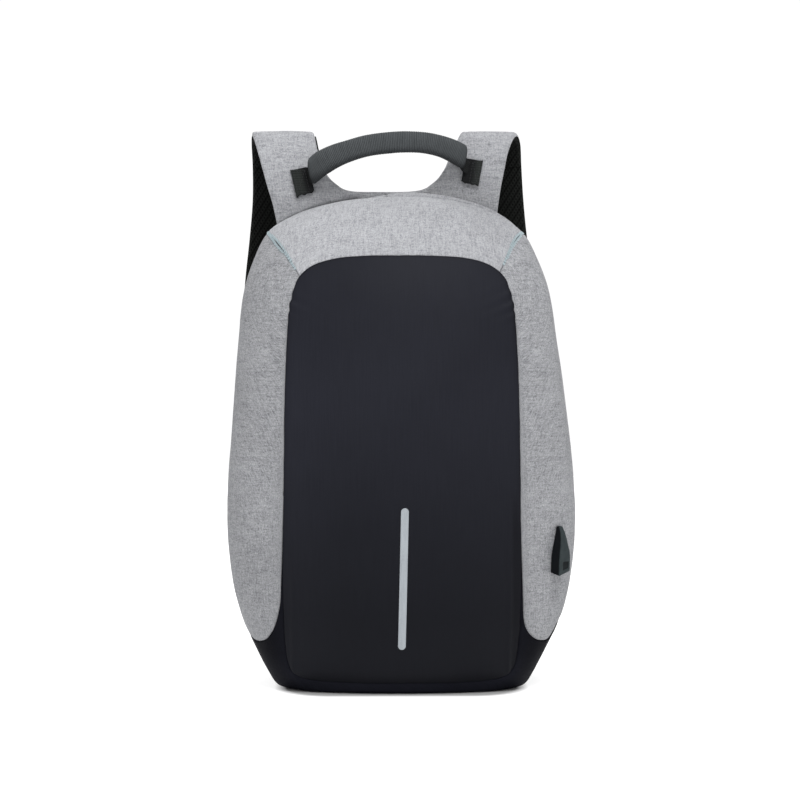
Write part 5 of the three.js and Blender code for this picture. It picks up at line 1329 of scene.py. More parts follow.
# ------------------------------------------------------------------ dart seams
def dart(name, seam, first, last, gape, spread):
    """Rows of pale thread that straddle the mitred seam from the panel to the crest, with
    the dark slit of the seam open between them at one place."""
    t = np.linspace(first, last, 140)
    st = seam(t)
    made = []
    for way in (-1, 1):
        for row, extra, fat in ((0, 0.0, 0.7), (1, 1.05, 0.58)):
            apart = 0.45 + extra + spread * np.exp(-(((t - gape) / 0.13) ** 2))
            ds = way * apart / np.linalg.norm(wall(st + 0.05, t) - wall(st - 0.05, t), axis=-1) / 10
            p, n = wall(st + ds, t), wall_normal(st + ds, t)
            p = p - n * (1.15 * quarter(apart, 1.9) + 0.38)[:, None]
            keep_part = slice(0, len(t)) if row == 0 else slice(int(len(t) * (0.12 if way < 0 else 0.3)), int(len(t) * (0.72 if way < 0 else 0.9)))
            made.append(stitches(name, p[keep_part], n[keep_part], "thread_pale", 2.7, 0.25, fat, 0.12, 0.22 * way))
    return joined(name, made)


keep(dart("dart_thread_right", dart_right, 0.1, 0.97, 0.6, 0.55), "grey_cloth")
keep(dart("dart_thread_left", dart_left, 0.1, 0.97, 0.5, 0.75), "grey_cloth")


# ------------------------------------------------------------------ back panel
def back_outline(count, inset):
    dense = np.linspace(0, COUNT, 4001)
    p = RING_B(dense / COUNT)
    s = np.concatenate([[0], np.cumsum(np.linalg.norm(np.diff(p, axis=0), axis=1))])
    station = np.interp(np.linspace(0, s[-1], count, endpoint=False), s, dense)
    return station, back_edge(station, 0.0, np.full(count, float(inset)))[:, (0, 2)]


def pad_height(x, z, d):
    """Height of the padded mesh above the panel's lowest channel: two columns of pads
    with a channel up the middle and sewn channels across."""
    h = np.full_like(x, 3.4)
    groove = lambda v, w: np.exp(-((v / w) ** 2))
    bend = 6 * np.sin((z - 60) / 330 * np.pi)
    mid = groove(x, 9.5)
    h = h - 3.3 * mid
    inner_line = np.abs(x) - (17 + 0 * bend)
    h = h - 1.2 * groove(inner_line, 1.6)
    for zc, sl in ((118, 0.12), (208, 0.12), (298, 0.12)):
        line = z - zc - sl * (np.abs(x) - 50)
        h = h - 2.6 * groove(line, 4.0) * step(10, 24, np.abs(x)) * (1 - 0 * x)
    rim = np.abs(d - 15.5)
    h = h - 2.7 * groove(rim, 3.0)
    return h


def back_panel():
    count = 620
    station, q = back_outline(count, 0.15)
    centre = np.array((0.0, PANEL_MID_Z))
    xz, f = polar(q, centre, 2.25)
    x, z = xz[..., 0], xz[..., 1]
    flat3 = np.stack([x, 0 * x, z], -1)
    d, along = line_distance(flat3, np.concatenate([flat3[0], flat3[:1, 0]]))
    h = pad_height(x, z, d)
    under_yoke = step(366, 380, z) * step(-118, -108, x) * step(98, 88, x)
    h = h * (1 - under_yoke) + 1.2 * under_yoke
    for k in (-1, 1):  # flat below the sewn patches
        near = step(74, 84, x * k) * step(56, 46, z)
        h = h * (1 - near) + 2.2 * near
    puff = 0.3 * clouds(flat3, 34, 2, 301) * np.clip(h / 3.4, 0, 1) + 0.22 * puckers(along, np.abs(d - 15.5), 6, 6, 302)
    y = -3.4 + h + puff
    y = np.minimum(y, 0.25)
    # the bound edge: a rounded rim
    rim = -1.3 * np.sqrt(np.clip((d - 3.2) / 3.2, -1, 1) ** 2) ** 2
    edge_y = -1.1 - 2.6 * quarter(d, 3.6)
    tape = step(8.6, 7.2, d)
    y = y * (1 - tape) + edge_y * tape - 0.8 * np.exp(-(((d - 8.2) / 0.8) ** 2))
    outer = np.stack([x, y, z], -1)
    rings, k = outer.shape[:2]
    side1 = np.stack([q[:, 0], np.full(count, -6.5), q[:, 1]], -1)
    side2 = np.stack([q[:, 0], np.full(count, -BACK_THICK + 0.3), q[:, 1]], -1)
    under = centre + (q - centre) * 0.97
    under3 = np.stack([under[:, 0], np.full(count, -BACK_THICK), under[:, 1]], -1)
    mid = np.array((0.0, float(y[-1].mean()), PANEL_MID_Z))
    points = np.concatenate([side1 * 0 + side2, side1, outer.reshape(-1, 3), mid[None], under3, [(0.0, -BACK_THICK, PANEL_MID_Z)]])
    first = 2 * k
    rows = grid_faces(rings + 2, k, wrap=True)
    middle = (rings + 2) * k
    j = np.arange(k)
    j1 = (j + 1) % k
    tri = np.stack([(rings + 1) * k + j, (rings + 1) * k + j1, np.full(k, middle)], -1)
    u0 = middle + 1
    rim = np.stack([j1, j, u0 + j, u0 + j1], -1)
    cap = np.stack([u0 + j1, u0 + j, np.full(k, u0 + k)], -1)
    faces = [rows, tri, rim, cap]
    f0 = rows[first : first + 4000]
    nrm = np.cross(points[f0[:, 1]] - points[f0[:, 0]], points[f0[:, 3]] - points[f0[:, 0]])
    if nrm[:, 1].sum() < 0:
        faces = [g[:, ::-1] for g in faces]
    obj = to_object("back_panel_padding", points, faces, points[:, (0, 2)], "back_mesh")
    shade_and_soil = np.zeros(len(points))
    # painted shade in the sewn channels between the pads, less under the yoke
    shade_and_soil[2 * k : 2 * k + h.size] = (0.85 * step(2.4, 0.5, h) * (1 - 0.6 * under_yoke)).reshape(-1)
    shade(obj, shade_and_soil)
    return obj, (station, d)


back, _ = back_panel()
keep(back, "black_mesh", "back_panel", fill=0.7)


def flat_line(points, y):
    p = np.asarray(points, float)
    return np.stack([p[:, 0], np.full(len(p), float(y)), p[:, 1]], -1)


def back_binding():
    """Tape folded over the back panel's edge."""
    n = 900
    station = np.linspace(0, COUNT, n, endpoint=False)
    profile = [(-0.25, -9.0), (-0.55, -7.5), (-0.65, -5.0), (-0.35, -3.0), (0.6, -1.6), (2.2, -0.75), (4.2, -0.45), (6.2, -0.55), (7.3, -0.95), (7.5, -1.6)]
    over = step(15.3, 16.6, station) * step(24.7, 23.4, station)  # pulled in behind the top band
    rows = []
    for inset, y in profile:
        rows.append(back_edge(station, y, inset + 1.3 * over * max(1 - inset / 5, 0)))
    p = np.array(rows)
    s = np.concatenate([[0], np.cumsum(np.linalg.norm(np.diff(p[0], axis=0), axis=1))])
    p = p + 0.12 * noise(s / 5, 0.0, seed=5)[None, :, None] * np.array((0, 1.0, 0))
    p[..., 2] = np.maximum(p[..., 2], 0.05)
    across = np.concatenate([[0], np.cumsum([math.dist(a, b) for a, b in zip(profile[:-1], profile[1:])])])
    uv = np.stack([np.broadcast_to(s[None], p.shape[:2]), np.broadcast_to(across[:, None], p.shape[:2])], -1)
    faces = grid_faces(len(profile), n, wrap=True)
    q = p.reshape(-1, 3)
    nrm = np.cross(q[faces[:, 1]] - q[faces[:, 0]], q[faces[:, 3]] - q[faces[:, 0]])
    centre = np.array((0, -6.0, PANEL_MID_Z))
    if np.sum(nrm * (q[faces[:, 0]] - centre)) < 0:
        faces = faces[:, ::-1]
    tape = to_object("back_binding", p, [faces], uv, "zip_tape")
    line = back_edge(np.linspace(0, COUNT, n), -0.45, np.full(n, 5.6))
    thread = stitches("back_binding_thread", line, np.tile((0, 1.0, 0), (n, 1)), "thread_black", 3.0, 1.2, 0.3, 0.1)
    return tape, thread


tape, thread = back_binding()
keep(tape, "webbing")
keep(thread, "webbing")


# ------------------------------------------------------------------ main zip
def main_zip():
    n = 420
    station = np.linspace(ZIP_STATION, COUNT - ZIP_STATION, n)
    ys = [-13.9, -13.2, -12.4, -11.75, -11.1, -10.4, -9.7]
    lift = [1.5, 1.15, 1.2, 1.7, 1.2, 1.15, 1.5]
    p = np.array([back_edge(station, y, np.full(n, ZIP_SUNK + l) + 0.5 * step(15, 17, station) * step(25, 23, station)) for y, l in zip(ys, lift)])
    s = np.concatenate([[0], np.cumsum(np.linalg.norm(np.diff(p[0], axis=0), axis=1))])
    uv = np.stack([np.broadcast_to(s[None], p.shape[:2]), np.broadcast_to(np.array(ys)[:, None], p.shape[:2])], -1)
    q = p.reshape(-1, 3)
    faces = grid_faces(len(ys), n)
    nrm = np.cross(q[faces[:, 1]] - q[faces[:, 0]], q[faces[:, 3]] - q[faces[:, 0]])
    if np.sum(nrm * (q[faces[:, 0]] - np.array((0, -12.0, PANEL_MID_Z)))) < 0:
        faces = faces[:, ::-1]
    tape = to_object("main_zip_tape", p, [faces], uv, "zip_tape")
    # two coils that mesh, each a fine spiral of wire
    total = s[-1]
    coils = []
    for k, yc in ((0.0, -12.35), (0.5, -11.15)):
        turns = int(total / 1.6)
        m = turns * 7
        a = np.linspace(0, turns, m) + k
        st = np.interp(np.linspace(0, total, m), s, station)
        y = yc + 0.72 * np.cos(2 * np.pi * a)
        inset = ZIP_SUNK - 0.25 - 0.5 * np.sin(2 * np.pi * a)
        c = back_edge(st, y, inset)
        t = unit(np.gradient(c, axis=0))
        o = back_edge(st, y, inset - 1) - c
        w = unit(np.cross(t, unit(o)))
        nn = np.cross(w, t)
        coils.append(sweep(f"coil{int(k * 2)}", c, w, nn, 0.33, 0.33, 1.0, 4, "zip_coil"))
    return tape, joined("main_zip_coils", coils)


tape, coils = main_zip()
keep(tape, "plastic", "main_zip")
keep(coils, "plastic")


def box_mesh(bm, size, centre, bevel, segments=3):
    made = bmesh.ops.create_cube(bm, size=1.0)
    verts = made["verts"]
    for v in verts:
        v.co = Vector((v.co.x * size[0] + centre[0], v.co.y * size[1] + centre[1], v.co.z * size[2] + centre[2]))
    edges = list({e for v in verts for e in v.link_edges})
    bmesh.ops.bevel(bm, geom=edges, offset=bevel, segments=segments, profile=0.6, affect="EDGES")


def from_bmesh(name, bm, origin, side, up, out, material):
    """Object from a bmesh in its own frame (mm), placed by three axes."""
    bmesh.ops.recalc_face_normals(bm, faces=bm.faces)
    axes = np.stack([side, up, out])
    for v in bm.verts:
        p = np.array(v.co) @ axes + origin
        v.co = Vector(((p[0]) / 1000, (p[1] + Y_CENTRE) / 1000, p[2] / 1000))
    mesh = bpy.data.meshes.new(name)
    if np.linalg.det(axes) < 0:
        bmesh.ops.reverse_faces(bm, faces=bm.faces)
    bm.to_mesh(mesh)
    bm.free()
    for p in mesh.polygons:
        p.use_smooth = True
    uv = mesh.uv_layers.new(name="UVMap")
    co = np.zeros(len(mesh.vertices) * 3, np.float32)
    mesh.vertices.foreach_get("co", co)
    co = co.reshape(-1, 3) * 1000
    loops = np.zeros(len(mesh.loops), np.int32)
    mesh.loops.foreach_get("vertex_index", loops)
    uv.data.foreach_set("uv", np.stack([co[loops] @ np.asarray(side), co[loops] @ np.asarray(up)], -1).reshape(-1).astype(np.float32))
    obj = bpy.data.objects.new(name, mesh)
    scene.collection.objects.link(obj)
    mesh.materials.append(MATERIALS[material])
    return obj


def slider(side):
    station = SLIDER_STATION if side == "right" else COUNT - SLIDER_STATION
    y = (ZIP_FRONT + ZIP_BACK) / 2
    st = np.array(station)
    c = back_edge(st, y, np.array(-0.5))
    n = unit(back_edge(st, y, np.array(-1.0)) - back_edge(st, y, np.array(0.0)))
    up = unit(np.array((0, 0, 1.0)) - n * n[2])
    right = np.cross(up, n)
    bm = bmesh.new()
    box_mesh(bm, (6.6, 9.6, 1.3), (0, 0, 1.45), 0.55)   # top plate
    box_mesh(bm, (4.4, 8.2, 1.0), (0, 0, 0.5), 0.3)
    for k in (-1, 1):
        box_mesh(bm, (0.9, 8.8, 1.5), (k * 2.9, 0, 0.95), 0.3)  # flanges
    box_mesh(bm, (1.9, 1.5, 1.6), (0, 2.5, 2.6), 0.4)  # crown: two feet and a bridge
    box_mesh(bm, (1.9, 1.5, 1.6), (0, -2.5, 2.6), 0.4)
    box_mesh(bm, (1.9, 6.4, 0.9), (0, 0, 3.55), 0.4)
    body = from_bmesh(f"slider_{side}_body", bm, c, right, up, n, "slider_metal")
    # pull: a bail and a flat tag with a slot, hanging down
    bm = bmesh.new()
    for k in (-1, 1):
        box_mesh(bm, (0.95, 7.2, 1.1), (k * 2.0, -2.6, 3.3), 0.3)
    box_mesh(bm, (4.9, 1.0, 1.1), (0, 0.6, 3.3), 0.35)
    box_mesh(bm, (5.6, 1.3, 1.3), (0, -6.2, 3.4), 0.4)
    for k in (-1, 1):
        box_mesh(bm, (1.5, 15.0, 1.3), (k * 2.05, -13.4, 3.4), 0.4)
    box_mesh(bm, (5.6, 8.6, 1.3), (0, -17.6, 3.4), 0.5)
    box_mesh(bm, (3.9, 6.4, 1.7), (0, -17.7, 3.4), 0.5)
    pull = from_bmesh(f"slider_{side}_pull", bm, c, right, up, n, "slider_metal")
    return joined(f"zip_slider_{side}_metal", [body, pull])


for side in ("left", "right"):
    keep(slider(side), "metal", f"zip_slider_{side}")


# ------------------------------------------------------------------ adjusting webbing
def buckle_frame(side):
    end = HARNESS[-1]
    middle = (end[3] + end[4]) / 2 if side == "left" else (end[5] + end[6]) / 2
    t = LINE.tangent(np.array(1.0))
    return np.array((middle, end[1], end[2])), t, np.array((0, -t[2], t[1]))


def placed(side, along, across, off):
    end, down, n = buckle_frame(side)
    along, across, off = (np.asarray(v, float)[..., None] for v in (along, across, off))
    return end + down * along + np.array((1.0, 0, 0)) * across + n * off


CLEAR = BUCKLE_THICK / 2 + 0.45 + WEB_THICK / 2
MID_BAR = BAR_TOP + BAR + SLOT
LOW_BAR = MID_BAR + BAR + SLOT


def turn_round(at, way):
    r, h = CLEAR - BUCKLE_THICK / 2, BUCKLE_THICK / 2
    arc = [(at + way * r * math.sin(math.radians(a)), h + r * math.cos(math.radians(a))) for a in (0, 22.5, 45, 67.5, 90)]
    return arc + [(u, -v) for u, v in arc[::-1]]


def ribbon(name, side, path, wide, material, spacing=0.9, hem=True):
    path = np.asarray(path, float)
    s = np.concatenate([[0], np.cumsum(np.linalg.norm(np.diff(path, axis=0), axis=1))])
    curve = Curve(np.concatenate([path, np.zeros((len(path), 1))], 1))
    dense = curve(np.linspace(0, 1, 4000))
    sd = arc_lengths(dense, 0)
    n = int(sd[-1] / spacing)
    at = np.linspace(0, sd[-1], n)
    q = np.stack([np.interp(at, sd, dense[:, k]) for k in (0, 1)], -1)
    c = placed(side, q[:, 0], 0 * q[:, 0], q[:, 1])
    t = unit(np.gradient(c, axis=0))
    w = np.tile((1.0, 0, 0), (n, 1))
    nn = unit(np.cross(w, t))
    sag = 0.12 * noise(at / 9, 0.0, seed=17)
    return sweep(name, c + nn * sag[:, None], w, nn, wide / 2, WEB_THICK / 2, 0.28, 40, material, wrap_uv="flat"), (c, nn, at)


def lower_path(side):
    end, down, n = buckle_frame(side)
    from_yz = lambda y, z: (float(np.dot((0, y - end[1], z - end[2]), down)), float(np.dot((0, y - end[1], z - end[2]), n)))
    low = LOW_BAR + BAR
    return [from_yz(5.6, 18), from_yz(5.7, 44), from_yz(10, 66), from_yz(19, 92), (low + 6, -CLEAR - 0.4), (low - 2, -CLEAR),
            *turn_round(MID_BAR, -1)[::-1], (low - 2, CLEAR), (low + 6, CLEAR + 0.3), from_yz(41, 118), from_yz(41.2, 96), from_yz(39.8, 78)]


def buckle(side):
    end, down, n = buckle_frame(side)
    tall = 3 * BAR + 2 * SLOT
    bm = bmesh.new()
    w, th = BUCKLE_WIDE, BUCKLE_THICK
    rail = (w - WEB_WIDE - 1.8) / 2
    for k in (-1, 1):
        box_mesh(bm, (rail, tall - 0.2, th), (k * (w - rail) / 2, BAR_TOP + tall / 2, 0), 1.15, 4)
    box_mesh(bm, (w - 2.4, BAR, th - 0.3), (0, BAR_TOP + BAR / 2, 0), 1.0, 4)
    box_mesh(bm, (w - 2.4, BAR - 0.3, th - 0.6), (0, BAR_TOP + BAR * 1.5 + SLOT, 0), 0.7, 3)
    box_mesh(bm, (w - 2.4, BAR, th - 0.2), (0, BAR_TOP + BAR * 2.5 + 2 * SLOT, 0), 1.0, 4)
    for k in range(9):  # grip teeth of the middle bar
        box_mesh(bm, (1.3, BAR - 0.6, 0.5), (-10.4 + 2.6 * k, BAR_TOP + BAR * 1.5 + SLOT, th / 2 - 0.25), 0.18, 2)
    for k in (-1, 0, 1):  # thumb ribs of the lower bar
        box_mesh(bm, (w - 12, 0.55, 0.5), (0, BAR_TOP + BAR * 2.5 + 2 * SLOT + 1.05 * k, th / 2 - 0.05), 0.2, 2)
    return from_bmesh(f"buckle_{side}_plastic", bm, end, np.array((1.0, 0, 0)), down, n, "buckle_plastic")


for side in ("left", "right"):
    loop_path = [(-6, CLEAR - 0.2), (0.5, CLEAR), (4, CLEAR), *turn_round(BAR_TOP + BAR, 1), (4, -CLEAR), (0.5, -CLEAR), (-6, -CLEAR + 0.4)]
    loop, _ = ribbon(f"buckle_loop_{side}_webbing", side, loop_path[1:-1], WEB_WIDE - 0.4, "strap_webbing", 0.6)
    keep(loop, "webbing", f"buckle_loop_{side}")
    web, (c, nn, at) = ribbon(f"lower_web_{side}_webbing", side, lower_path(side), WEB_WIDE - 0.4, "strap_webbing")
    keep(web, "webbing", f"lower_web_{side}")
    keep(buckle(side), "plastic", f"buckle_{side}")
    # the free end is folded back and sewn across
    rows = []
    for back_by in (4.0, 6.5):
        i = int(np.searchsorted(at, at[-1] - back_by))
        way = -1 if nn[i][1] < 0 else 1
        x = np.linspace(-10.5, 10.5, 30)
        for sgn in (-1, 1):
            line = c[i][None] + np.stack([x, 0 * x, 0 * x], -1) + nn[i][None] * sgn * (WEB_THICK / 2)
            rows.append(stitches("t", line, np.tile(nn[i] * sgn, (30, 1)), "thread_black", 2.0, 0.7, 0.25, 0.05))
    keep(joined(f"lower_web_{side}_thread", rows), "webbing")


def anchor_patch(side):
    k = -1 if side == "left" else 1
    pts = np.array([(82, 8), (104, 9), (113, 17), (116, 34), (111, 47), (84.5, 47)], float)
    # rounded outline
    closed = np.concatenate([pts, pts[:1]])
    dense = []
    for a, b in zip(closed[:-1], closed[1:]):
        m = max(int(np.linalg.norm(b - a) / 0.7), 2)
        dense.append(a + (b - a) * np.linspace(0, 1, m, endpoint=False)[:, None])
    dense = np.concatenate(dense)
    kernel = np.hanning(9)
    kernel /= kernel.sum()
    pad = np.concatenate([dense[-4:], dense, dense[:4]])
    soft = np.stack([np.convolve(pad[:, i], kernel, "valid") for i in (0, 1)], -1)
    soft[:, 0] *= k
    centre = soft.mean(0)
    xz, f = polar(soft, centre, 0.9, (0.2, 0.3, 0.4, 0.55, 0.75))
    x, z = xz[..., 0], xz[..., 1]
    flat3 = np.stack([x, 0 * x, z], -1)
    d, along = line_distance(flat3, np.concatenate([flat3[0], flat3[:1, 0]]))
    y = 3.4 + 0.5 * (1 - np.exp(-d / 4)) - 1.6 * quarter(d, 1.5) - 0.5 * np.exp(-(((d - 3.0) / 0.6) ** 2))
    y += 0.12 * puckers(along, d, 4, 5, 401) + 0.12 * clouds(flat3, 12, 2, 402)
    outer = np.stack([x, y, z], -1)
    rings, m = outer.shape[:2]
    foot = np.stack([soft[:, 0], np.full(m, 0.6), soft[:, 1]], -1)
    mid = np.array((centre[0], float(y[-1].mean()), centre[1]))
    points = np.concatenate([foot, outer.reshape(-1, 3), mid[None]])
    q = grid_faces(rings + 1, m, wrap=True)
    j = np.arange(m)
    tri = np.stack([rings * m + j, rings * m + (j + 1) % m, np.full(m, (rings + 1) * m)], -1)
    faces = [q, tri]
    f0 = q[m : m + 3000]
    nrm = np.cross(points[f0[:, 1]] - points[f0[:, 0]], points[f0[:, 3]] - points[f0[:, 0]])
    if nrm[:, 1].sum() < 0:
        faces = [g[:, ::-1] for g in faces]
    patch = to_object(f"web_anchor_{side}_cloth", points, faces, points[:, (0, 2)], "base_cloth")
    ring3 = centre + (soft - centre) * (1 - 3.0 / np.linalg.norm(soft - centre, axis=1))[:, None]
    line = flat_line(np.concatenate([ring3, ring3[:1]]), 3.35)
    thread = stitches(f"web_anchor_{side}_thread", line, np.tile((0, 1.0, 0), (len(line), 1)), "thread_black", 2.3, 0.9, 0.28, 0.02)
    return patch, thread


for side in ("left", "right"):
    patch, thread = anchor_patch(side)
    keep(patch, "black_cloth", f"web_anchor_{side}")
    keep(thread, "webbing")


# ------------------------------------------------------------------ reflective strip
def reflective_strip():
    a = math.radians(STRIP["lean"])
    r, tall = STRIP["wide"] / 2, STRIP["tall"]
    v = np.concatenate([tall / 2 - r + r * np.sin(np.linspace(np.pi / 2, 0, 14)), np.linspace(tall / 2 - r, -(tall / 2 - r), 120)[1:-1],
                        -(tall / 2 - r) - r * np.sin(np.linspace(0, np.pi / 2, 14))])
    over = np.maximum(np.abs(v) - (tall / 2 - r), 0)
    half = np.maximum(np.sqrt(np.maximum(r * r - over * over, 0)), 0.05)
    f = np.array([-1, -0.985, -0.95, -0.88, -0.76, -0.5, -0.2, 0.2, 0.5, 0.76, 0.88, 0.95, 0.985, 1])
    u = half[:, None] * f[None]
    V = np.broadcast_to(v[:, None], u.shape)
    px = STRIP["x"] + u * math.cos(a) + V * math.sin(a)
    pz = STRIP["z"] + V * math.cos(a) - u * math.sin(a)
    base, n = panel(px, pz), panel_normal(px, pz)
    d = np.minimum(half[:, None] - np.abs(u), tall / 2 - np.abs(V))
    lift = 0.85 - 0.5 * quarter(np.maximum(d, 0), 0.5) - 0.1 * np.exp(-(((d - 1.0) / 0.25) ** 2)) + 0.04 * noise(V / 9, u / 4, seed=8)
    outer, inner = base + n * lift[..., None], base + n * -0.1
    rows, cols = u.shape
    points = np.concatenate([outer.reshape(-1, 3), inner.reshape(-1, 3)])
    faces = grid_faces(rows, cols)
    m = rows * cols
    edge = np.concatenate([np.arange(cols), (np.arange(1, rows) * cols + cols - 1), (rows - 1) * cols + np.arange(cols - 2, -1, -1), np.arange(rows - 2, 0, -1) * cols])
    nxt = np.roll(edge, -1)
    rim = np.stack([edge, edge + m, nxt + m, nxt], -1)
    flip = not outward(points, faces, m, n)
    groups = [faces[:, ::-1], rim[:, ::-1]] if flip else [faces, rim]
    uv = np.concatenate([np.stack([u, V], -1).reshape(-1, 2)] * 2)
    return to_object("reflective_strip_tape", points, groups, uv, "reflective_tape")


keep(reflective_strip(), "reflective", "reflective_strip")


# ------------------------------------------------------------------ charging port
def in_port(p):
    return PORT_AT + p[..., :1] * PORT_SIDE + p[..., 1:2] * PORT_UP + p[..., 2:3] * PORT_OUT


def hood_section(w, out, low=-0.6, corners=(3.2, 1.0)):
    """Rounded section of the hood: flat against the bag, corners rounded outside."""
    h = w / 2
    pts = []
    for way, a0, corner in ((1, 0, corners[0]), (-1, 90, corners[1])):
        c = min(corner, out * 0.45, h * 0.6)
        cx, cy = way * (h - c), out - c
        for a in np.linspace(a0, a0 + 90, 12):
            pts.append((cx + c * math.cos(math.radians(a)), cy + c * math.sin(math.radians(a))))
    pts.append((-h, low))
    pts.append((h, low))
    pts = np.array(pts + pts[:1])
    s = np.concatenate([[0], np.cumsum(np.linalg.norm(np.diff(pts, axis=0), axis=1))])
    # equal shares on every section, so that the net's columns run straight
    marks = s[[0, 11, 12, 23, 24, 25, -1]]
    share = [10, 18, 10, 10, 14, 10]
    at = np.concatenate([np.linspace(a, b, n, endpoint=False) for a, b, n in zip(marks[:-1], marks[1:], share)])
    return np.stack([np.interp(at, s, pts[:, i]) for i in (0, 1)], -1)


def hood():
    ups = np.concatenate([[-21, -20.9, -20.7, -20.3, -19.7], np.linspace(-19, 20.2, 80), [20.6, 20.85, 21.0]])
    wide = np.interp(ups, HOOD[:, 0], HOOD[:, 1])
    out = np.interp(ups, HOOD[:, 0], HOOD[:, 2])
    kernel = np.array([1, 2, 3, 2, 1.0]) / 9
    for arr in (wide, out):
        arr[6:-6] = np.convolve(arr, kernel, "same")[6:-6]
    rows = []
    for i, (u, w, o) in enumerate(zip(ups, wide, out)):
        e = min(u + 21, 21 - u)
        sec = hood_section(w, o)
        inset = 0.75 * quarter(np.array(e), 0.9)
        k = 1 - 2 * float(inset) / w
        sec = np.stack([sec[:, 0] * k, np.where(sec[:, 1] > 0, sec[:, 1] - float(inset) * (sec[:, 1] > o * 0.3), sec[:, 1])], -1)
        # recess moulded into the outer face, with a raised lip round it
        x, y = sec[:, 0], sec[:, 1]
        top = y > o * 0.8
        rx, ru = np.abs(x - 0.6) - 4.3, abs(u + 13.2) - 4.6
        dd = np.maximum(rx, ru)
        sec[:, 1] = y + top * (-0.85 * (1 - step(-0.55, 0.1, dd)) + 0.22 * np.exp(-(((dd - 0.55) / 0.5) ** 2)))
        rows.append(np.stack([sec[:, 0], np.full(len(sec), u), sec[:, 1]], -1))
    outer = np.array(rows)
    # the pocket, from its mouth up to its ceiling
    mouth = []
    for u, w, lo, hi in ((-21, 13.6, 0.8, 7.6), (-20.6, 13.1, 1.05, 7.45), (-19, 13, 1.1, 7.4), (-12, 13, 1.1, 7.4), (-7.6, 13, 1.1, 7.4), (-7.1, 12.4, 1.4, 7.1)):
        sec = hood_section(w, hi - lo, low=0.0, corners=(0.7, 0.7))
        mouth.append(np.stack([sec[:, 0], np.full(len(sec), float(u)), sec[:, 1] + lo], -1))
    p = np.concatenate([np.array(mouth)[::-1], outer])
    # the lower edge is cut on the slant, lowest at the outer corner that faces forward
    slant = 4.0 * np.clip(p[..., 0] / 16 + 0.5, 0, 1) + 2.0 * np.clip(1 - p[..., 2] / 8.8, 0, 1)
    p[..., 1] += slant * step(-9, -21, p[..., 1])
    rings, k = p.shape[:2]
    points = np.concatenate([p.reshape(-1, 3), p[0].mean(0)[None], p[-1].mean(0)[None]])
    j = np.arange(k)
    j1 = (j + 1) % k
    faces = [grid_faces(rings, k, wrap=True), np.stack([j1, j, np.full(k, rings * k)], -1),
             np.stack([(rings - 1) * k + j, (rings - 1) * k + j1, np.full(k, rings * k + 1)], -1)]
    q = in_port(points)
    f0 = faces[0][-30 * k : -10 * k]
    nrm = np.cross(q[f0[:, 1]] - q[f0[:, 0]], q[f0[:, 3]] - q[f0[:, 0]])
    if np.sum(nrm * (q[f0[:, 0]] - in_port(np.array((0, 0, 2.0))))) < 0:
        faces = [g[:, ::-1] for g in faces]
    s = np.concatenate([[0], np.cumsum(np.linalg.norm(np.diff(points[len(mouth) * k : len(mouth) * k + k], axis=0), axis=1))])
    uv = np.stack([np.tile(s, rings), p[..., 1].reshape(-1)], -1)
    uv = np.concatenate([uv, [(0, 0)], [(0, 0)]])
    obj = to_object("usb_hood_rubber", q, faces, uv, "hood_rubber")
    # painted shade on the cheek that faces forward, in the mouth and in the moulded recess
    x, u, o = points[:, 0], points[:, 1], points[:, 2]
    wide_here, out_here = np.interp(u, HOOD[:, 0], HOOD[:, 1]), np.interp(u, HOOD[:, 0], HOOD[:, 2])
    cheek = step(-wide_here / 2 + 0.75, -wide_here / 2 + 0.1, x) * step(out_here - 0.3, out_here - 1.2, o)
    recess = step(5.0, 4.2, np.maximum(np.abs(x - 0.6), np.abs(u + 13.2))) * step(out_here - 0.5, out_here - 0.7, o) * (o > out_here * 0.6)
    shade_and_soil = np.maximum(0.93 * cheek, 0.7 * recess)
    shade_and_soil[: len(mouth) * k] = 0.8
    return shade(obj, shade_and_soil)


keep(hood(), "rubber", "usb_hood")


def socket():
    bm = bmesh.new()
    lo, hi, z0 = -12.3, -7.45, 4.25
    w, d = 12.0, 5.2
    for k in (-1, 1):
        box_mesh(bm, (0.5, hi - lo, d), (k * (w - 0.5) / 2, (lo + hi) / 2, z0), 0.18, 2)
        box_mesh(bm, (w, hi - lo, 0.5), (0, (lo + hi) / 2, z0 + k * (d - 0.5) / 2), 0.18, 2)
    box_mesh(bm, (w, 0.6, d), (0, hi - 0.3, z0), 0.2, 2)
    shell_obj = from_bmesh("usb_socket_shell", bm, PORT_AT, PORT_SIDE, PORT_UP, PORT_OUT, "socket_metal")
    bm = bmesh.new()
    box_mesh(bm, (10.4, hi - lo - 0.6, 1.6), (0, (lo + hi) / 2 + 0.2, z0 + 0.9), 0.3, 3)
    tongue_obj = from_bmesh("usb_socket_tongue", bm, PORT_AT, PORT_SIDE, PORT_UP, PORT_OUT, "buckle_plastic")
    bm = bmesh.new()
    for k in range(4):
        box_mesh(bm, (1.0, hi - lo - 1.4, 0.25), (-3.75 + 2.5 * k, (lo + hi) / 2 + 0.2, z0 + 0.02), 0.1, 2)
    pins = from_bmesh("usb_socket_contacts", bm, PORT_AT, PORT_SIDE, PORT_UP, PORT_OUT, "socket_metal")
    return shell_obj, tongue_obj, pins


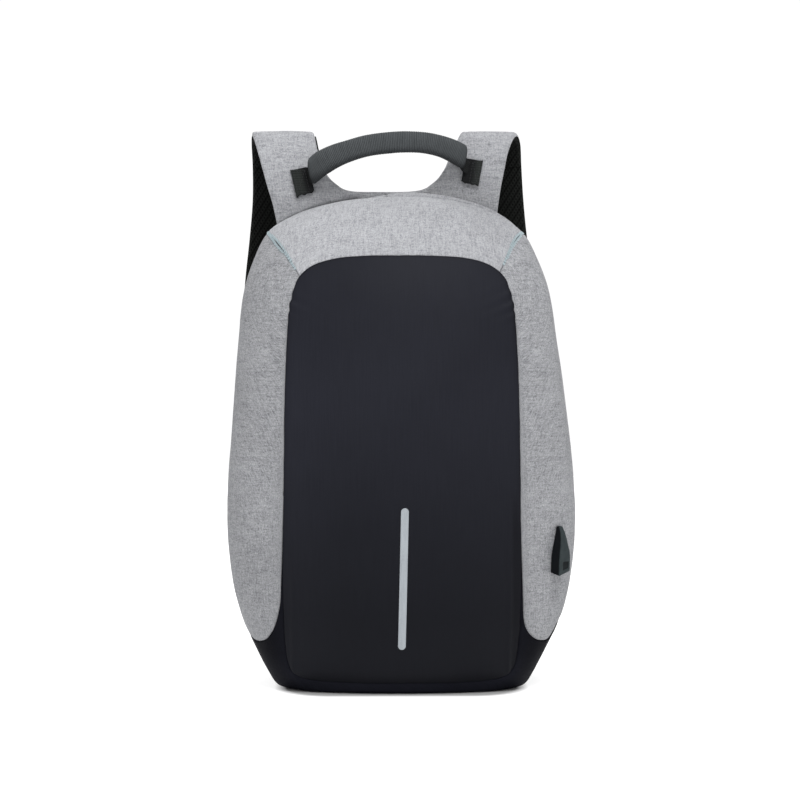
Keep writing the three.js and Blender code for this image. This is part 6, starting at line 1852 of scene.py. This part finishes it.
shell_obj, tongue_obj, pins = socket()
keep(shell_obj, "metal", "usb_socket")
keep(tongue_obj, "plastic")
keep(pins, "metal")

# ------------------------------------------------------------------ stage and light
mesh = bpy.data.meshes.new("floor")
mesh.from_pydata([(-2.6, -2.6, -0.0004), (2.6, -2.6, -0.0004), (2.6, 2.6, -0.0004), (-2.6, 2.6, -0.0004)], [], [(0, 1, 2, 3)])
floor = bpy.data.objects.new("floor", mesh)
scene.collection.objects.link(floor)
mesh.materials.append(MATERIALS["floor_paper"])

world = bpy.data.worlds.new("studio")
scene.world = world
world.use_nodes = True
# a white wall all round, a dimmer ceiling
tree = world.node_tree
sky = tree.nodes["Background"]
where, split, ramp = (tree.nodes.new(kind) for kind in ("ShaderNodeTexCoord", "ShaderNodeSeparateXYZ", "ShaderNodeValToRGB"))
tree.links.new(where.outputs["Generated"], split.inputs[0])
tree.links.new(split.outputs[2], ramp.inputs[0])
tree.links.new(ramp.outputs[0], sky.inputs[0])
stops = ramp.color_ramp.elements
stops[0].position, stops[0].color = 0.0, (1.03, 1.03, 1.03, 1)
stops[1].position, stops[1].color = 0.17, (1.03, 1.03, 1.03, 1)
for place, level in ((0.3, 0.62), (1.0, 0.55)):
    stop = stops.new(place)
    stop.color = (level, level, level, 1)
sky.inputs[1].default_value = 1.0
scene.view_settings.view_transform = "Standard"
scene.view_settings.look = "None"
scene.view_settings.exposure = 0
scene.view_settings.gamma = 1


def area(name, location, target, size, power):
    light = bpy.data.lights.new(name, "AREA")
    light.shape = "RECTANGLE"
    light.size, light.size_y = size
    light.energy = power
    obj = bpy.data.objects.new(name, light)
    scene.collection.objects.link(obj)
    obj.location = location
    obj.rotation_mode = "QUATERNION"
    obj.rotation_quaternion = (Vector(target) - Vector(location)).to_track_quat("-Z", "Y")
    return obj


area("key", (0.35, -1.25, 2.35), (0, 0, 0.3), (1.1, 0.8), 44)
area("fill", (-0.4, 2.2, 1.9), (0, 0, 0.3), (2.0, 1.4), 26)

bpy.context.view_layer.update()
